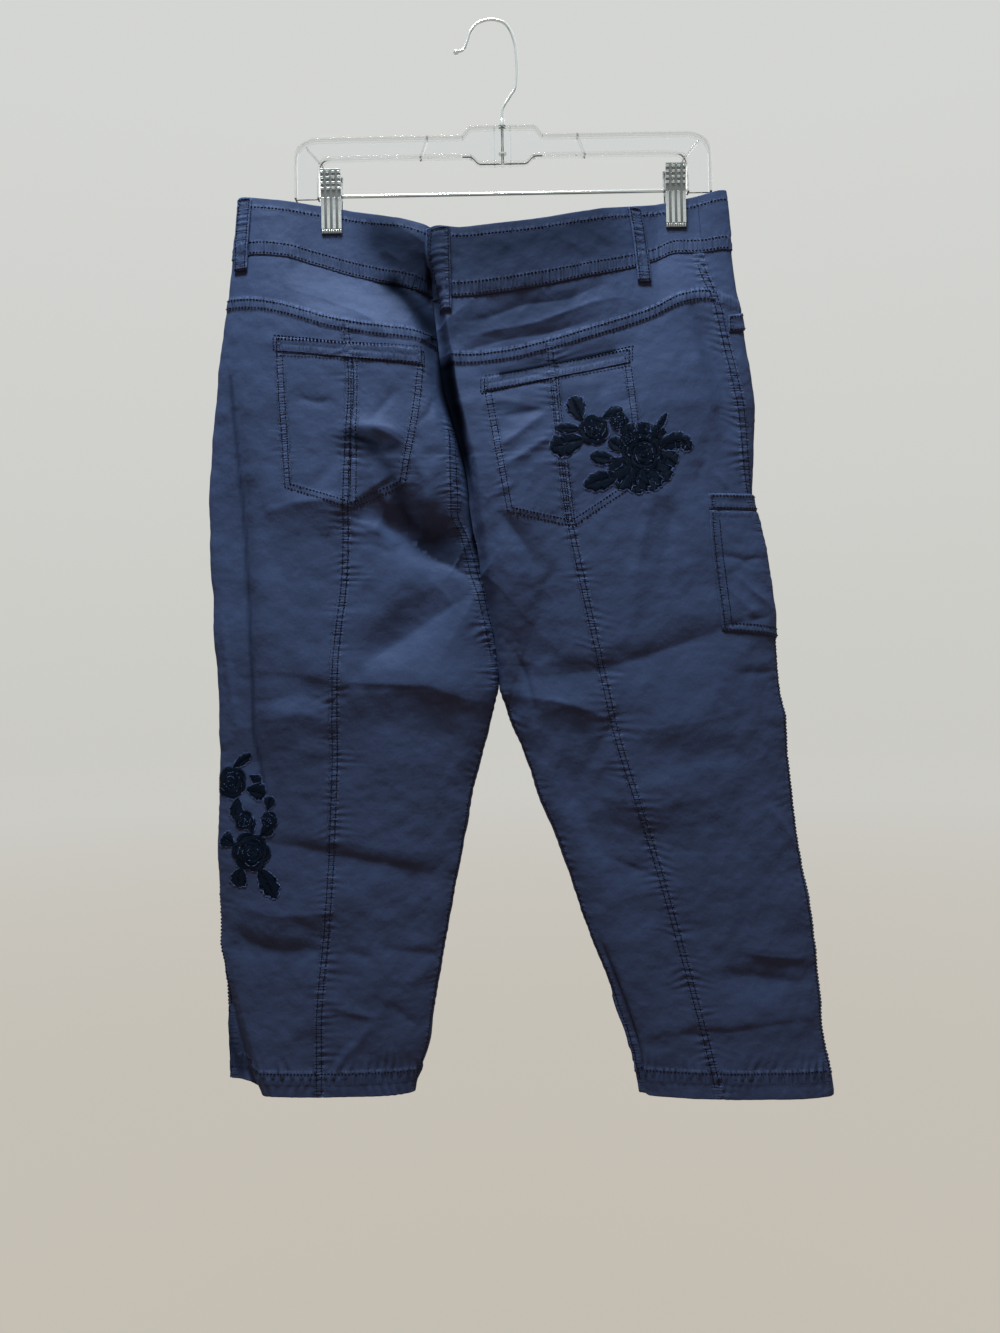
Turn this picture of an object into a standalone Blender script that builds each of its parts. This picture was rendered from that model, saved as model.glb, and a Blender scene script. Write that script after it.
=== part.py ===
"""Capri pants hung by the waistband from a clear two-clip hanger.

The garment's back faces -Y and its front +Y. The origin is where the wire hook rests on what holds it.
Each half of the garment is one flattened tube: at every height it has an outer edge, an inner edge and
a depth. A place on it is an angle round the tube and a height. From the angle -90 at the inner edge the
back layer runs to +90 at the outer edge, and the front layer goes on from there to 270 at the inner edge.
Above the crotch the inner edge is the centre seam, below it the inseam. All sizes are in millimetres.
"""

import math

import bmesh
import bpy
import numpy as np
from mathutils import Vector

MM = 0.001
CLOTH = 1.3
WAISTBAND_WALL = 2.2
HEM_WALL = 2.2
BAND_WALL = 1.5
LOOP_WALL = 1.4
SEAM_GAP = 0.3
OVERLAY_LIFT = 1.0
# The tube's section: how full its edges are, where it parts into two legs, and how soon folds fade out
# towards an edge. Each half keeps a little more than its own cloth beside the other at the crotch.
CROTCH = -568.0
EDGE_POWER = 0.75
SPLIT_START = -400.0
CROTCH_BLEND = 20.0
CROTCH_ROOM = 1.55
FADE_RATE = 2.5
FADE_POWER = 0.8
FADE_BELOW_CROTCH = 10.0
FADE_ABOVE_CROTCH = 30.0
# How wide the centre back fold is on each side of the seam
FOLD_SPREAD = {"left": 20.0, "right": 5.0}

# Height, left edge, right edge, depth of the back layer, depth of the front layer
OUTLINE = (
    (-146, -215, 197, 10, 9),
    (-170, -218, 200, 14, 12),
    (-200, -222, 202, 18, 15),
    (-235, -226, 206, 22, 17),
    (-275, -233, 211, 25, 19),
    (-310, -237, 215, 26, 20),
    (-345, -242, 218, 26, 20),
    (-380, -245, 216, 26, 20),
    (-405, -246, 215, 25, 20),
    (-440, -246, 221, 25, 19),
    (-490, -245, 229, 24, 18),
    (-540, -242, 232, 23, 17),
    (-570, -239, 234, 22, 16),
    (-600, -240, 239, 20, 15),
    (-650, -242, 244, 18, 14),
    (-700, -243, 249, 17, 13),
    (-750, -244, 256, 16, 13),
    (-776, -244, 260, 15, 13),
    (-800, -240, 263, 15, 13),
    (-850, -237, 266, 15, 13),
    (-890, -237, 271, 14, 13),
    (-912, -237, 273, 14, 13),
)

# Height, inner edge of the left leg, inner edge of the right leg
INSEAMS = (
    (-568, -3, -3),
    (-590, -8, 3),
    (-615, -15, 13),
    (-640, -22, 23),
    (-666, -29, 32),
    (-692, -33, 43),
    (-717, -38, 51),
    (-743, -44, 58),
    (-768, -49, 66),
    (-794, -54, 76),
    (-819, -59, 85),
    (-845, -64, 93),
    (-870, -69, 101),
    (-896, -77, 107),
    (-912, -81, 110),
)

# Height, place of the centre back seam, depth of the fold that swallows it
CENTRE_BACK = (
    (-146, -52, 8),
    (-181, -51, 10),
    (-240, -49, 13),
    (-273, -46, 15),
    (-310, -42, 13),
    (-347, -33, 12),
    (-391, -23, 10),
    (-442, -18, 9),
    (-498, -8, 6),
    (-540, -4, 3),
    (-568, -3, 0),
)

# Height, place of the centre front seam
CENTRE_FRONT = ((-146, 40), (-240, 38), (-330, 32), (-420, 20), (-500, 4), (-568, -3))

# Height, place of the long seam that parts the inner and outer back panels
BACK_SEAM_LEFT = (
    (-146, -128),
    (-235, -124),
    (-262, -122),
    (-306, -118),
    (-384, -123),
    (-464, -126),
    (-546, -135),
    (-632, -138),
    (-738, -145),
    (-852, -156),
    (-912, -157),
)
BACK_SEAM_RIGHT = (
    (-146, 44),
    (-240, 46),
    (-280, 48),
    (-343, 52),
    (-408, 58),
    (-465, 68),
    (-534, 82),
    (-606, 97),
    (-670, 116),
    (-729, 133),
    (-801, 152),
    (-883, 172),
    (-912, 178),
)

# Height, how far the side seam lies in from the outer edge: on the back layer, or minus on the front
SIDE_SEAM_LEFT = ((-146, -24), (-300, -32), (-400, -34), (-568, -20), (-700, -6), (-820, 0), (-912, 0))
SIDE_SEAM_RIGHT = (
    (-146, 26),
    (-206, 26),
    (-250, 17),
    (-284, 14),
    (-336, 9),
    (-373, 5),
    (-410, 1),
    (-440, 0),
    (-912, 0),
)

# Place across, top edge of the waist, waistband seam, yoke seam
BACK_LINES_LEFT = (
    (-246, -147, -200, -233),
    (-215, -147, -200, -234),
    (-204, -148, -198, -235),
    (-174, -152, -201, -242),
    (-145, -156, -208, -252),
    (-128, -159, -213, -256),
    (-97, -167, -222, -262),
    (-66, -175, -230, -266),
    (-45, -181, -237, -270),
)
BACK_LINES_RIGHT = (
    (-52, -182, -239, -286),
    (-28, -184, -241, -287),
    (3, -182, -238, -284),
    (40, -177, -232, -276),
    (77, -171, -225, -266),
    (112, -165, -218, -256),
    (132, -161, -211, -249),
    (155, -157, -202, -238),
    (175, -153, -202, -234),
    (197, -148, -199, -240),
    (215, -148, -199, -246),
)

# Place across, top edge of the waist, waistband seam, the level where the front panels' rows are even
FRONT_LINES_LEFT = (
    (-246, -147, -200, -233),
    (-215, -147, -200, -234),
    (-174, -152, -203, -243),
    (-136, -159, -210, -252),
    (-60, -172, -224, -266),
    (40, -183, -236, -278),
)
FRONT_LINES_RIGHT = (
    (36, -183, -236, -278),
    (100, -171, -223, -262),
    (155, -157, -208, -248),
    (197, -148, -199, -240),
    (215, -148, -199, -246),
)

# Place across, hem line, bottom edge
HEM_LINES = ((-245, -884, -904), (-75, -886, -907), (105, -889, -912), (275, -893, -916))

# The folds: layer, shape, depth outwards, width, and the points of its line across and up. A ridge or
# trough is even about its line. A crease stands out on the left of its line's way and sinks on the right.
# A shelf drops what lies on the right of its way, as far as its reach.
SHELF_REACH = 70.0
FOLDS = (
    ("back", "ridge", -6, 22, ((-232, -300), (-225, -360), (-220, -470), (-216, -560), (-208, -680))),
    ("back", "ridge", 5, 20, ((-205, -330), (-200, -450), (-193, -560), (-186, -660))),
    ("back", "crease", 5, 16, ((-212, -541), (-150, -551), (-92, -556), (-28, -575))),
    ("back", "crease", 3.5, 14, ((-200, -696), (-130, -703), (-45, -722))),
    ("back", "crease", 3.5, 13, ((-236, -762), (-208, -778), (-150, -778))),
    ("back", "ridge", -6, 18, ((-118, -545), (-82, -515), (-46, -486))),
    ("back", "ridge", -8, 24, ((-96, -418), (-62, -432), (-30, -452))),
    ("back", "ridge", -5, 16, ((2, -420), (22, -450), (32, -480), (40, -540), (60, -620))),
    ("back", "ridge", 6, 22, ((4, -350), (8, -420), (12, -480), (10, -540))),
    ("back", "crease", 5, 16, ((32, -548), (80, -550), (130, -532), (196, -512))),
    ("back", "ridge", -5, 22, ((48, -580), (66, -640), (96, -700), (112, -745))),
    ("back", "crease", 3.5, 14, ((124, -613), (180, -618))),
    ("back", "ridge", -4, 16, ((163, -240), (176, -290), (190, -340), (198, -372))),
    ("back", "crease", 3, 14, ((222, -792), (272, -800))),
    ("back", "crease", 3, 12, ((132, -862), (200, -860), (264, -858))),
    ("back", "shelf", -8, 12, ((-214, -800), (-196, -850), (-186, -912))),
    ("back", "shelf", -7, 12, ((84, -800), (102, -865), (112, -912))),
    ("front", "ridge", -5, 24, ((-150, -330), (-150, -450), (-160, -600), (-165, -800))),
    ("front", "ridge", 5, 26, ((-90, -360), (-100, -480), (-110, -620))),
    ("front", "ridge", -5, 26, ((80, -330), (92, -470), (120, -620), (165, -820))),
    ("front", "ridge", 5, 24, ((196, -570), (205, -650), (220, -760))),
    ("front", "crease", 4, 16, ((-210, -600), (-120, -612), (-40, -600))),
    ("front", "crease", 4, 16, ((40, -622), (120, -612), (210, -590))),
    ("front", "crease", 3.5, 14, ((-215, -760), (-140, -770), (-70, -758))),
    ("front", "crease", 3.5, 14, ((110, -780), (180, -772), (240, -762))),
)

# Columns of each panel and rows of each band
INNER_COLUMNS = 8
OUTER_COLUMNS = 8
FRONT_COLUMNS = 14
WAIST_ROWS = 3
YOKE_ROWS = 2
SEAT_ROWS = 14
LEG_ROWS = 13
HEM_FINENESS = 3
GATHER_LENGTH = 13.0
GATHER_DEPTH = 0.8
# Heights the row lines start from and how often they are moved towards their tables
FIRST_LEVELS = (-155, -205, -245, CROTCH, -890, -907)
GRID_ROUNDS = 12

# Belt loops: layer, garment side, place at the top, its height, place at the foot, its height
LOOPS = {
    "belt_loop_back_left": ("back", "left", -209.5, -149, -213.5, -211),
    "belt_loop_back_centre": ("back", "right", -43.5, -185, -43.5, -252),
    "belt_loop_back_right": ("back", "right", 117.5, -166, 125, -229),
    "belt_loop_front_left": ("front", "left", -58, -175, -60, -240),
    "belt_loop_front_right": ("front", "right", 118, -170, 122, -232),
}
LOOP_WIDTH = 11.5
LOOP_LIFT = 2.0
LOOP_SEAT = 0.6
LOOP_ROWS = 6

# Flat pieces that lie on the cloth: layer, side, and top left, top right, bottom right, bottom left
WELTS = {
    "back_pocket_band_left": ("back", "left", ((-184, -270), (-60, -284), (-60, -297), (-184, -282))),
    "back_pocket_band_right": ("back", "right", ((-12, -308), (113, -284), (112, -297), (-12, -320))),
    "front_pocket_band_left": ("front", "left", ((-104, -238), (-200, -252), (-201, -266), (-104, -252))),
    "fly_flap": ("front", "left", ((2, -240), (35, -240), (24, -392), (10, -372))),
}
BAND_COLUMNS = 8
BAND_ROWS = 2
LOOP_COLUMNS = 3

# The pockets that go round the right edge: height, place on the back layer, place on the front layer
CARGO_LIFT = 1.3
CARGO_TOP = -423.0
CARGO_BACK = ((-404, 175), (-423, 175), (-521, 184))
CARGO_FRONT_REACH = 118.0
CARGO_DROP_BACK = -522.0
CARGO_DROP_FRONT = -542.0
CARGO_BAND = (-405.0, -420.0)
CARGO_COLUMNS = 24
CARGO_ROWS = 8
HIP_BAND_BACK = 196.0
HIP_BAND_FRONT = 112.0
HIP_BAND_TOP = (-256.0, -238.0)
HIP_BAND_HEIGHT = 14.0
HIP_BAND_COLUMNS = 10

BUTTON_PLACE = (22.0, -207.0)
BUTTON_RADIUS = 8.5
BUTTON_THICKNESS = 3.0
BUTTON_EDGE = 0.8
BUTTON_SEGMENTS = 24

# Clips and hanger
CLIP_PLACES = (-137.0, 154.0)
CLIP_WIDTH = 17.0
CLIP_PINCH_REACH = 34.0
PINCH_FULL = -175.0
PINCH_FADE = -262.0
PINCH_STRENGTH = 1.25
PINCHED_HALF = 2.6
# One jaw seen from the side: distance out from the middle of the clip, height, round the outline
JAW_OUTLINE = (
    (3.3, -150),
    (7.0, -127),
    (9.2, -127),
    (5.6, -151),
    (5.2, -154),
    (5.6, -178),
    (4.8, -179.5),
    (3.3, -179.5),
)
ROD_HEIGHT = -146.8
ROD_RADIUS = 1.6
ROD_SEGMENTS = 12
SPRING_RADIUS = 2.8
SPRING_WIDTH = 9.0
SPRING_SEGMENTS = 16
HANGER_MIDDLE = 8.5
# The frame from its middle to one end: reach and height of its upper edge, of its lower edge
FRAME_HALF = (
    (0, -90.3, 0, -122.3),
    (26.5, -90.3, 19, -122.3),
    (35.5, -98.3, 27.5, -115.8),
    (54, -98.2, 54, -115.8),
    (106, -98.2, 106, -115.8),
    (158.5, -98.5, 148.5, -116.2),
    (170.5, -103, 154.5, -121),
    (176.5, -113, 156, -128),
    (177, -133, 156, -136),
    (177, -149, 156, -149),
)
FRAME_HALF_DEPTH = 4.5
FRAME_WEB = 1.3
FRAME_FLANGE = 1.8
HOOK_WIRE = 1.5
HOOK_STEPS = 44
HOOK_BALL = 2.4
BALL_SEGMENTS = 12
# Place across and height of the wire's middle, from its foot on the frame to its tip
HOOK_WAY = (
    (8.5, -89.9),
    (9.0, -76),
    (14.5, -66),
    (20.3, -56),
    (21.8, -40),
    (21.2, -24),
    (17.6, -9.5),
    (10.3, -0.6),
    (0.5, 1.6),
    (-9.2, -0.6),
    (-16.8, -8.2),
    (-20.2, -17.5),
    (-23.6, -24),
    (-27.4, -25.2),
)

COLOURS = {
    "cloth": ((0.05, 0.075, 0.14, 1), 0.8, 0.0),
    "trim": ((0.045, 0.068, 0.125, 1), 0.8, 0.0),
    "clear": ((0.9, 0.93, 0.95, 1), 0.08, 0.0),
    "wire": ((0.75, 0.76, 0.78, 1), 0.25, 1.0),
    "clip": ((0.72, 0.74, 0.76, 1), 0.3, 1.0),
    "button": ((0.05, 0.06, 0.1, 1), 0.4, 0.0),
}


def column(table, at, index=1):
    """A smooth curve through one column of a table that never swings past its rows."""
    keys = np.array([row[0] for row in table], float)
    values = np.array([row[index] for row in table], float)
    if keys[0] > keys[-1]:
        keys, values = keys[::-1], values[::-1]
    steep = np.diff(values) / np.diff(keys)
    turning = steep[:-1] * steep[1:] <= 0
    total = np.where(turning, 1, steep[:-1] + steep[1:])
    between = np.where(turning, 0, 2 * steep[:-1] * steep[1:] / total)
    slopes = np.concatenate([steep[:1], between, steep[-1:]])
    at = np.clip(at, keys[0], keys[-1])
    i = np.clip(np.searchsorted(keys, at) - 1, 0, len(keys) - 2)
    width = keys[i + 1] - keys[i]
    t = (at - keys[i]) / width
    start = (1 + 2 * t) * (1 - t) ** 2 * values[i] + t * (1 - t) ** 2 * width * slopes[i]
    end = t * t * (3 - 2 * t) * values[i + 1] + t * t * (t - 1) * width * slopes[i + 1]
    return start + end


def smooth(value, low, high):
    t = np.clip((value - low) / (high - low), 0, 1)
    return t * t * (3 - 2 * t)


def inner_edge(side, layer, z):
    centre = CENTRE_BACK if layer == "back" else CENTRE_FRONT
    legs = column(INSEAMS, z, 1 if side == "left" else 2)
    return np.where(z > CROTCH, column(centre, z), legs)


def outer_edge(side, z):
    return column(OUTLINE, z, 1 if side == "left" else 2)


def along_line(x, z, line):
    """The signed distance from a line, left of its way positive, and the share of its length."""
    best = np.full(np.shape(x), np.inf)
    signed = np.zeros(np.shape(x))
    share = np.zeros(np.shape(x))
    lengths = [math.dist(a, b) for a, b in zip(line, line[1:])]
    done = 0.0
    for (ax, az), (bx, bz), length in zip(line, line[1:], lengths):
        ux, uz = (bx - ax) / length, (bz - az) / length
        t = np.clip((x - ax) * ux + (z - az) * uz, 0, length)
        away = np.hypot(x - ax - ux * t, z - az - uz * t)
        turn = np.sign(ux * (z - az) - uz * (x - ax))
        nearer = away < best
        best = np.where(nearer, away, best)
        signed = np.where(nearer, away * turn, signed)
        share = np.where(nearer, (done + t) / sum(lengths), share)
        done += length
    return signed, share


def relief(x, z, layer):
    """How far the folds move a layer outwards. Each fades to its line's ends, a shelf only to its start."""
    out = np.zeros(np.shape(x))
    for fold_layer, shape, depth, width, line in FOLDS:
        if fold_layer != layer:
            continue
        away, share = along_line(x, z, line)
        taper = np.sin(np.pi * np.clip(share, 0.02, 0.98)) ** 0.6
        if shape == "shelf":
            dropped = smooth(-away, -width / 2, width / 2) * smooth(away, -1.2 * SHELF_REACH, -SHELF_REACH)
            out += depth * smooth(share, 0, 0.35) * dropped
        elif shape == "ridge":
            out += depth * taper * np.exp(-((away / width) ** 2))
        else:
            out += depth * taper * (away / width) * np.exp(0.5 - (away / width) ** 2)
    return out


def pinch(x, z):
    """How firmly the clips hold the two layers together at a place, from 0 to 1."""
    held = np.zeros(np.shape(x))
    for place in CLIP_PLACES:
        near = PINCH_STRENGTH * np.exp(-(((x - place) / CLIP_PINCH_REACH) ** 2))
        held = np.maximum(held, np.clip(near, 0, 1) * smooth(z, PINCH_FADE, PINCH_FULL))
    return held


def surface(side, angle, z):
    """The garment's outer surface: points for arrays of angles in degrees and heights."""
    angle, z = np.broadcast_arrays(np.asarray(angle, float), np.asarray(z, float))
    turn = np.radians(angle)
    back = angle < 90
    edge = outer_edge(side, z)
    inner = np.where(back, inner_edge(side, "back", z), inner_edge(side, "front", z))
    x = (edge + inner) / 2 + (edge - inner) / 2 * np.sin(turn)
    left, right = outer_edge("left", z), outer_edge("right", z)
    across = (2 * x - left - right) / (right - left)
    depth = np.where(back, column(OUTLINE, z, 3), column(OUTLINE, z, 4))
    whole = np.sqrt(np.clip(1 - across**2, 0, 1))
    round_leg = np.clip(np.abs(np.cos(turn)), 0, 1) ** EDGE_POWER
    split = smooth(-z, -SPLIT_START, -CROTCH)
    out = depth * ((1 - split) * whole + split * round_leg)
    inward = ((1 - np.sin(turn)) / 2) ** 8
    out = out + CROTCH_ROOM * inward * split * smooth(z, CROTCH - CROTCH_BLEND, CROTCH)
    fade = np.clip(FADE_RATE * np.abs(np.cos(turn)) ** FADE_POWER, 0, 1)
    above = smooth(z, CROTCH - FADE_BELOW_CROTCH, CROTCH + FADE_ABOVE_CROTCH)
    fade = np.where(np.sin(turn) < 0, np.maximum(fade, above), fade)
    out = out + fade * np.where(back, relief(x, z, "back"), relief(x, z, "front"))
    fold = np.where(back & (z > CROTCH), column(CENTRE_BACK, z, 2), 0)
    out = out - fold * np.exp(-(((x - inner) / FOLD_SPREAD[side]) ** 2))
    held = pinch(x, z)
    out = out * (1 - held) + PINCHED_HALF * held
    return np.stack([x, np.where(back, -out, out), z], axis=-1)


def normal(side, angle, z):
    """The outward direction of the surface."""
    step = 1.5
    low, high = np.clip(angle - step, -90, 270), np.clip(angle + step, -90, 270)
    round_way = surface(side, high, z) - surface(side, low, z)
    up_way = surface(side, angle, z + step) - surface(side, angle, z - step)
    out = np.cross(round_way, up_way) * (-1 if side == "left" else 1)
    return out / np.linalg.norm(out, axis=-1, keepdims=True)


def angle_at(side, layer, x, z):
    """The angle of a place across on one layer."""
    edge, inner = outer_edge(side, z), inner_edge(side, layer, z)
    share = np.clip((2 * x - edge - inner) / (edge - inner), -1, 1)
    found = np.degrees(np.arcsin(share))
    return found if layer == "back" else 180 - found


def side_seam_angle(side, z):
    inset = column(SIDE_SEAM_LEFT if side == "left" else SIDE_SEAM_RIGHT, z)
    out = -1 if side == "left" else 1
    edge = outer_edge(side, z)
    on_back = angle_at(side, "back", edge - out * np.maximum(inset, 0), z)
    on_front = angle_at(side, "front", edge + out * np.minimum(inset, 0), z)
    return np.where(inset > 0, on_back, on_front)


def back_seam_angle(side, z):
    table = BACK_SEAM_LEFT if side == "left" else BACK_SEAM_RIGHT
    return angle_at(side, "back", column(table, z), z)


def level(side, angle, x, row):
    """The height of a row line at a place: 0 waist, 1 waistband seam, 2 yoke, 3 crotch, 4 hem, 5 bottom."""
    if row == 3:
        return np.full(np.shape(x), CROTCH)
    if row > 3:
        return column(HEM_LINES, x, row - 3)
    back = BACK_LINES_LEFT if side == "left" else BACK_LINES_RIGHT
    front = FRONT_LINES_LEFT if side == "left" else FRONT_LINES_RIGHT
    return np.where(angle < 90, column(back, x, row + 1), column(front, x, row + 1))


def spaced(borders, counts):
    """Places that run through the borders, with that many steps between each two."""
    steps = [np.linspace(a, b, n, endpoint=False) for a, b, n in zip(borders, borders[1:], counts)]
    return np.append(np.concatenate(steps), borders[-1])


def grid(side, across, down):
    """Angles and heights where columns and rows of the garment cross.

    Columns: 0 is the inner edge of the back, 1 the back seam, 2 the side seam, 3 the inner edge in front.
    """
    across, down = np.meshgrid(across, down, indexing="ij")
    z = np.interp(down, range(6), FIRST_LEVELS)
    for _ in range(GRID_ROUNDS):
        marks = [np.full(z.shape, -90.0), back_seam_angle(side, z), side_seam_angle(side, z)]
        marks.append(np.full(z.shape, 270.0))
        first = np.clip(across.astype(int), 0, 2)
        start = np.choose(first, marks[:3])
        end = np.choose(first, marks[1:])
        angle = start + (end - start) * (across - first)
        x = surface(side, angle, z)[..., 0]
        upper = np.clip(down.astype(int), 0, 4)
        levels = [level(side, angle, x, row) for row in range(6)]
        top = np.choose(upper, levels[:5])
        bottom = np.choose(upper, levels[1:])
        z = 0.5 * z + 0.5 * (top + (bottom - top) * (down - upper))
    return angle, z


def material(name, kind):
    colour, rough, metallic = COLOURS[kind]
    made = bpy.data.materials.new(f"{name}_{kind}")
    made.use_nodes = True
    shader = made.node_tree.nodes["Principled BSDF"]
    shader.inputs["Base Color"].default_value = colour
    shader.inputs["Roughness"].default_value = rough
    shader.inputs["Metallic"].default_value = metallic
    return made


def finish(name, bm, kind):
    """A named object in the garment's collection from a bmesh in metres."""
    mesh = bpy.data.meshes.new(name)
    bm.to_mesh(mesh)
    bm.free()
    mesh.shade_smooth()
    mesh.set_sharp_from_angle(angle=math.radians(40))
    made = bpy.data.objects.new(name, mesh)
    mesh.materials.append(material(name, kind))
    bpy.data.collections["capri_pants"].objects.link(made)
    return made


def drawn_in(points, by):
    """The grid's borders moved inwards along its rows and columns."""
    moved = points.copy()
    for axis in (0, 1):
        rows = np.moveaxis(moved, axis, 0)
        for end, neighbour in ((0, 1), (-1, -2)):
            way = rows[neighbour] - rows[end]
            rows[end] += by * way / np.linalg.norm(way, axis=-1, keepdims=True)
    return moved


def wall(name, outer, inner, kind="cloth"):
    """A closed wall between an outer and an inner grid of points."""
    bm = bmesh.new()
    columns, rows = outer.shape[:2]
    made = [[bm.verts.new(Vector(p) * MM) for p in sheet.reshape(-1, 3)] for sheet in (outer, inner)]
    middle = (columns // 2, rows // 2)
    along = outer[middle] - outer[middle[0] - 1, middle[1]]
    down = outer[middle] - outer[middle[0], middle[1] - 1]
    outwards = np.dot(np.cross(along, down), outer[middle] - inner[middle]) > 0

    def face(*corners):
        ring = [made[sheet][i * rows + j] for sheet, i, j in corners]
        bm.faces.new(ring if outwards else ring[::-1])

    for i in range(columns - 1):
        for j in range(rows - 1):
            face((0, i, j), (0, i + 1, j), (0, i + 1, j + 1), (0, i, j + 1))
            face((1, i, j), (1, i, j + 1), (1, i + 1, j + 1), (1, i + 1, j))
    for j in range(rows - 1):
        face((0, 0, j), (0, 0, j + 1), (1, 0, j + 1), (1, 0, j))
        last = columns - 1
        face((0, last, j + 1), (0, last, j), (1, last, j), (1, last, j + 1))
    for i in range(columns - 1):
        face((0, i + 1, 0), (0, i, 0), (1, i, 0), (1, i + 1, 0))
        last = rows - 1
        face((0, i, last), (0, i + 1, last), (1, i + 1, last), (1, i, last))
    return finish(name, bm, kind)


def sewn(name, side, across, down, thickness, lift=0.0, kind="cloth", wave=None):
    """A piece of the garment's surface, as thick as its cloth, drawn in by half a seam gap.

    Its inside keeps to its own layer, so that the two never cross where the tube is thin.
    """
    angle, z = grid(side, across, down)
    outwards = normal(side, angle, z)
    outer = surface(side, angle, z) + lift * outwards
    if wave is not None:
        outer += wave(outer[..., 0])[..., None] * outwards
    outer = drawn_in(outer, SEAM_GAP / 2)
    inner = outer - thickness * outwards
    own_layer = -1 if across[-1] <= 2 else 1
    layer = np.where(np.abs(angle - 90) < 0.01, own_layer, np.sign(angle - 90))
    inner[..., 1] = layer * np.maximum(layer * inner[..., 1], SEAM_GAP / 2)
    return wall(name, outer, inner, kind)


def patch(name, side, angle, z, thickness, lift=OVERLAY_LIFT, kind="trim"):
    """A piece that lies on the garment, from the angles and heights of its grid."""
    outwards = normal(side, angle, z)
    inner = surface(side, angle, z) + np.asarray(lift)[..., None] * outwards
    return wall(name, inner + thickness * outwards, inner, kind)


def strip(side, layer, corners, columns, rows):
    """Angles and heights of a four-cornered patch: top left, top right, bottom right, bottom left."""
    u, v = np.meshgrid(np.linspace(0, 1, columns + 1), np.linspace(0, 1, rows + 1), indexing="ij")
    a, b, c, d = (np.array(corner, float) for corner in corners)
    spot = (1 - v)[..., None] * ((1 - u)[..., None] * a + u[..., None] * b)
    spot = spot + v[..., None] * ((1 - u)[..., None] * d + u[..., None] * c)
    return angle_at(side, layer, spot[..., 0], spot[..., 1]), spot[..., 1]


def smooth_way(points, steps):
    """Points along a smooth curve through the given ones."""
    points = np.array(points, float)
    reach = np.append(0, np.cumsum(np.linalg.norm(np.diff(points, axis=0), axis=1)))
    at = np.linspace(0, reach[-1], steps)
    return [column(list(zip(reach, points[:, axis])), at) for axis in range(points.shape[1])]


def gathers(x):
    return GATHER_DEPTH * np.sin(2 * np.pi * x / GATHER_LENGTH)


def build_panels():
    waist = spaced((0, 1), (WAIST_ROWS,))
    yoke = spaced((1, 2), (YOKE_ROWS,))
    body = spaced((2, 3, 4), (SEAT_ROWS, LEG_ROWS))
    front = spaced((1, 2, 3, 4), (YOKE_ROWS, SEAT_ROWS, LEG_ROWS))
    hem = spaced((4, 5), (1,))
    inner_back = spaced((0, 1), (INNER_COLUMNS,))
    outer_back = spaced((1, 2), (OUTER_COLUMNS,))
    whole_back = spaced((0, 1, 2), (INNER_COLUMNS, OUTER_COLUMNS))
    whole_front = spaced((2, 3), (FRONT_COLUMNS,))
    fine_back = spaced((0, 1, 2), (HEM_FINENESS * INNER_COLUMNS, HEM_FINENESS * OUTER_COLUMNS))
    fine_front = spaced((2, 3), (HEM_FINENESS * FRONT_COLUMNS,))
    for side in ("left", "right"):
        sewn(f"waistband_back_{side}", side, whole_back, waist, WAISTBAND_WALL)
        sewn(f"waistband_front_{side}", side, whole_front, waist, WAISTBAND_WALL)
        sewn(f"yoke_{side}", side, whole_back, yoke, CLOTH)
        sewn(f"back_inner_{side}", side, inner_back, body, CLOTH)
        sewn(f"back_outer_{side}", side, outer_back, body, CLOTH)
        sewn(f"front_{side}", side, whole_front, front, CLOTH)
        sewn(f"hem_back_{side}", side, fine_back, hem, HEM_WALL, wave=gathers)
        sewn(f"hem_front_{side}", side, fine_front, hem, HEM_WALL, wave=gathers)


def build_trims():
    for name, (layer, side, corners) in WELTS.items():
        angle, z = strip(side, layer, corners, BAND_COLUMNS, BAND_ROWS)
        patch(name, side, angle, z, BAND_WALL)
    for name, (layer, side, top_x, top_z, foot_x, foot_z) in LOOPS.items():
        half = LOOP_WIDTH / 2
        corners = (
            (top_x - half, top_z),
            (top_x + half, top_z),
            (foot_x + half, foot_z),
            (foot_x - half, foot_z),
        )
        angle, z = strip(side, layer, corners, LOOP_COLUMNS, LOOP_ROWS)
        bow = np.sin(np.pi * np.linspace(0, 1, LOOP_ROWS + 1))
        lift = np.broadcast_to(LOOP_SEAT + (LOOP_LIFT - LOOP_SEAT) * bow, angle.shape)
        patch(name, side, angle, z, LOOP_WALL, lift=lift)


def round_the_edge(back_x, front_x, top, bottom, columns, rows):
    """A grid on the right side that starts on the back layer and ends on the front layer."""
    u, v = np.meshgrid(np.linspace(0, 1, columns + 1), np.linspace(0, 1, rows + 1), indexing="ij")
    z = (1 - v) * (top[0] + (top[1] - top[0]) * u) + v * (bottom[0] + (bottom[1] - bottom[0]) * u)
    start = angle_at("right", "back", back_x(z), z)
    end = angle_at("right", "front", front_x(z), z)
    return start + (end - start) * u, z


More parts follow.
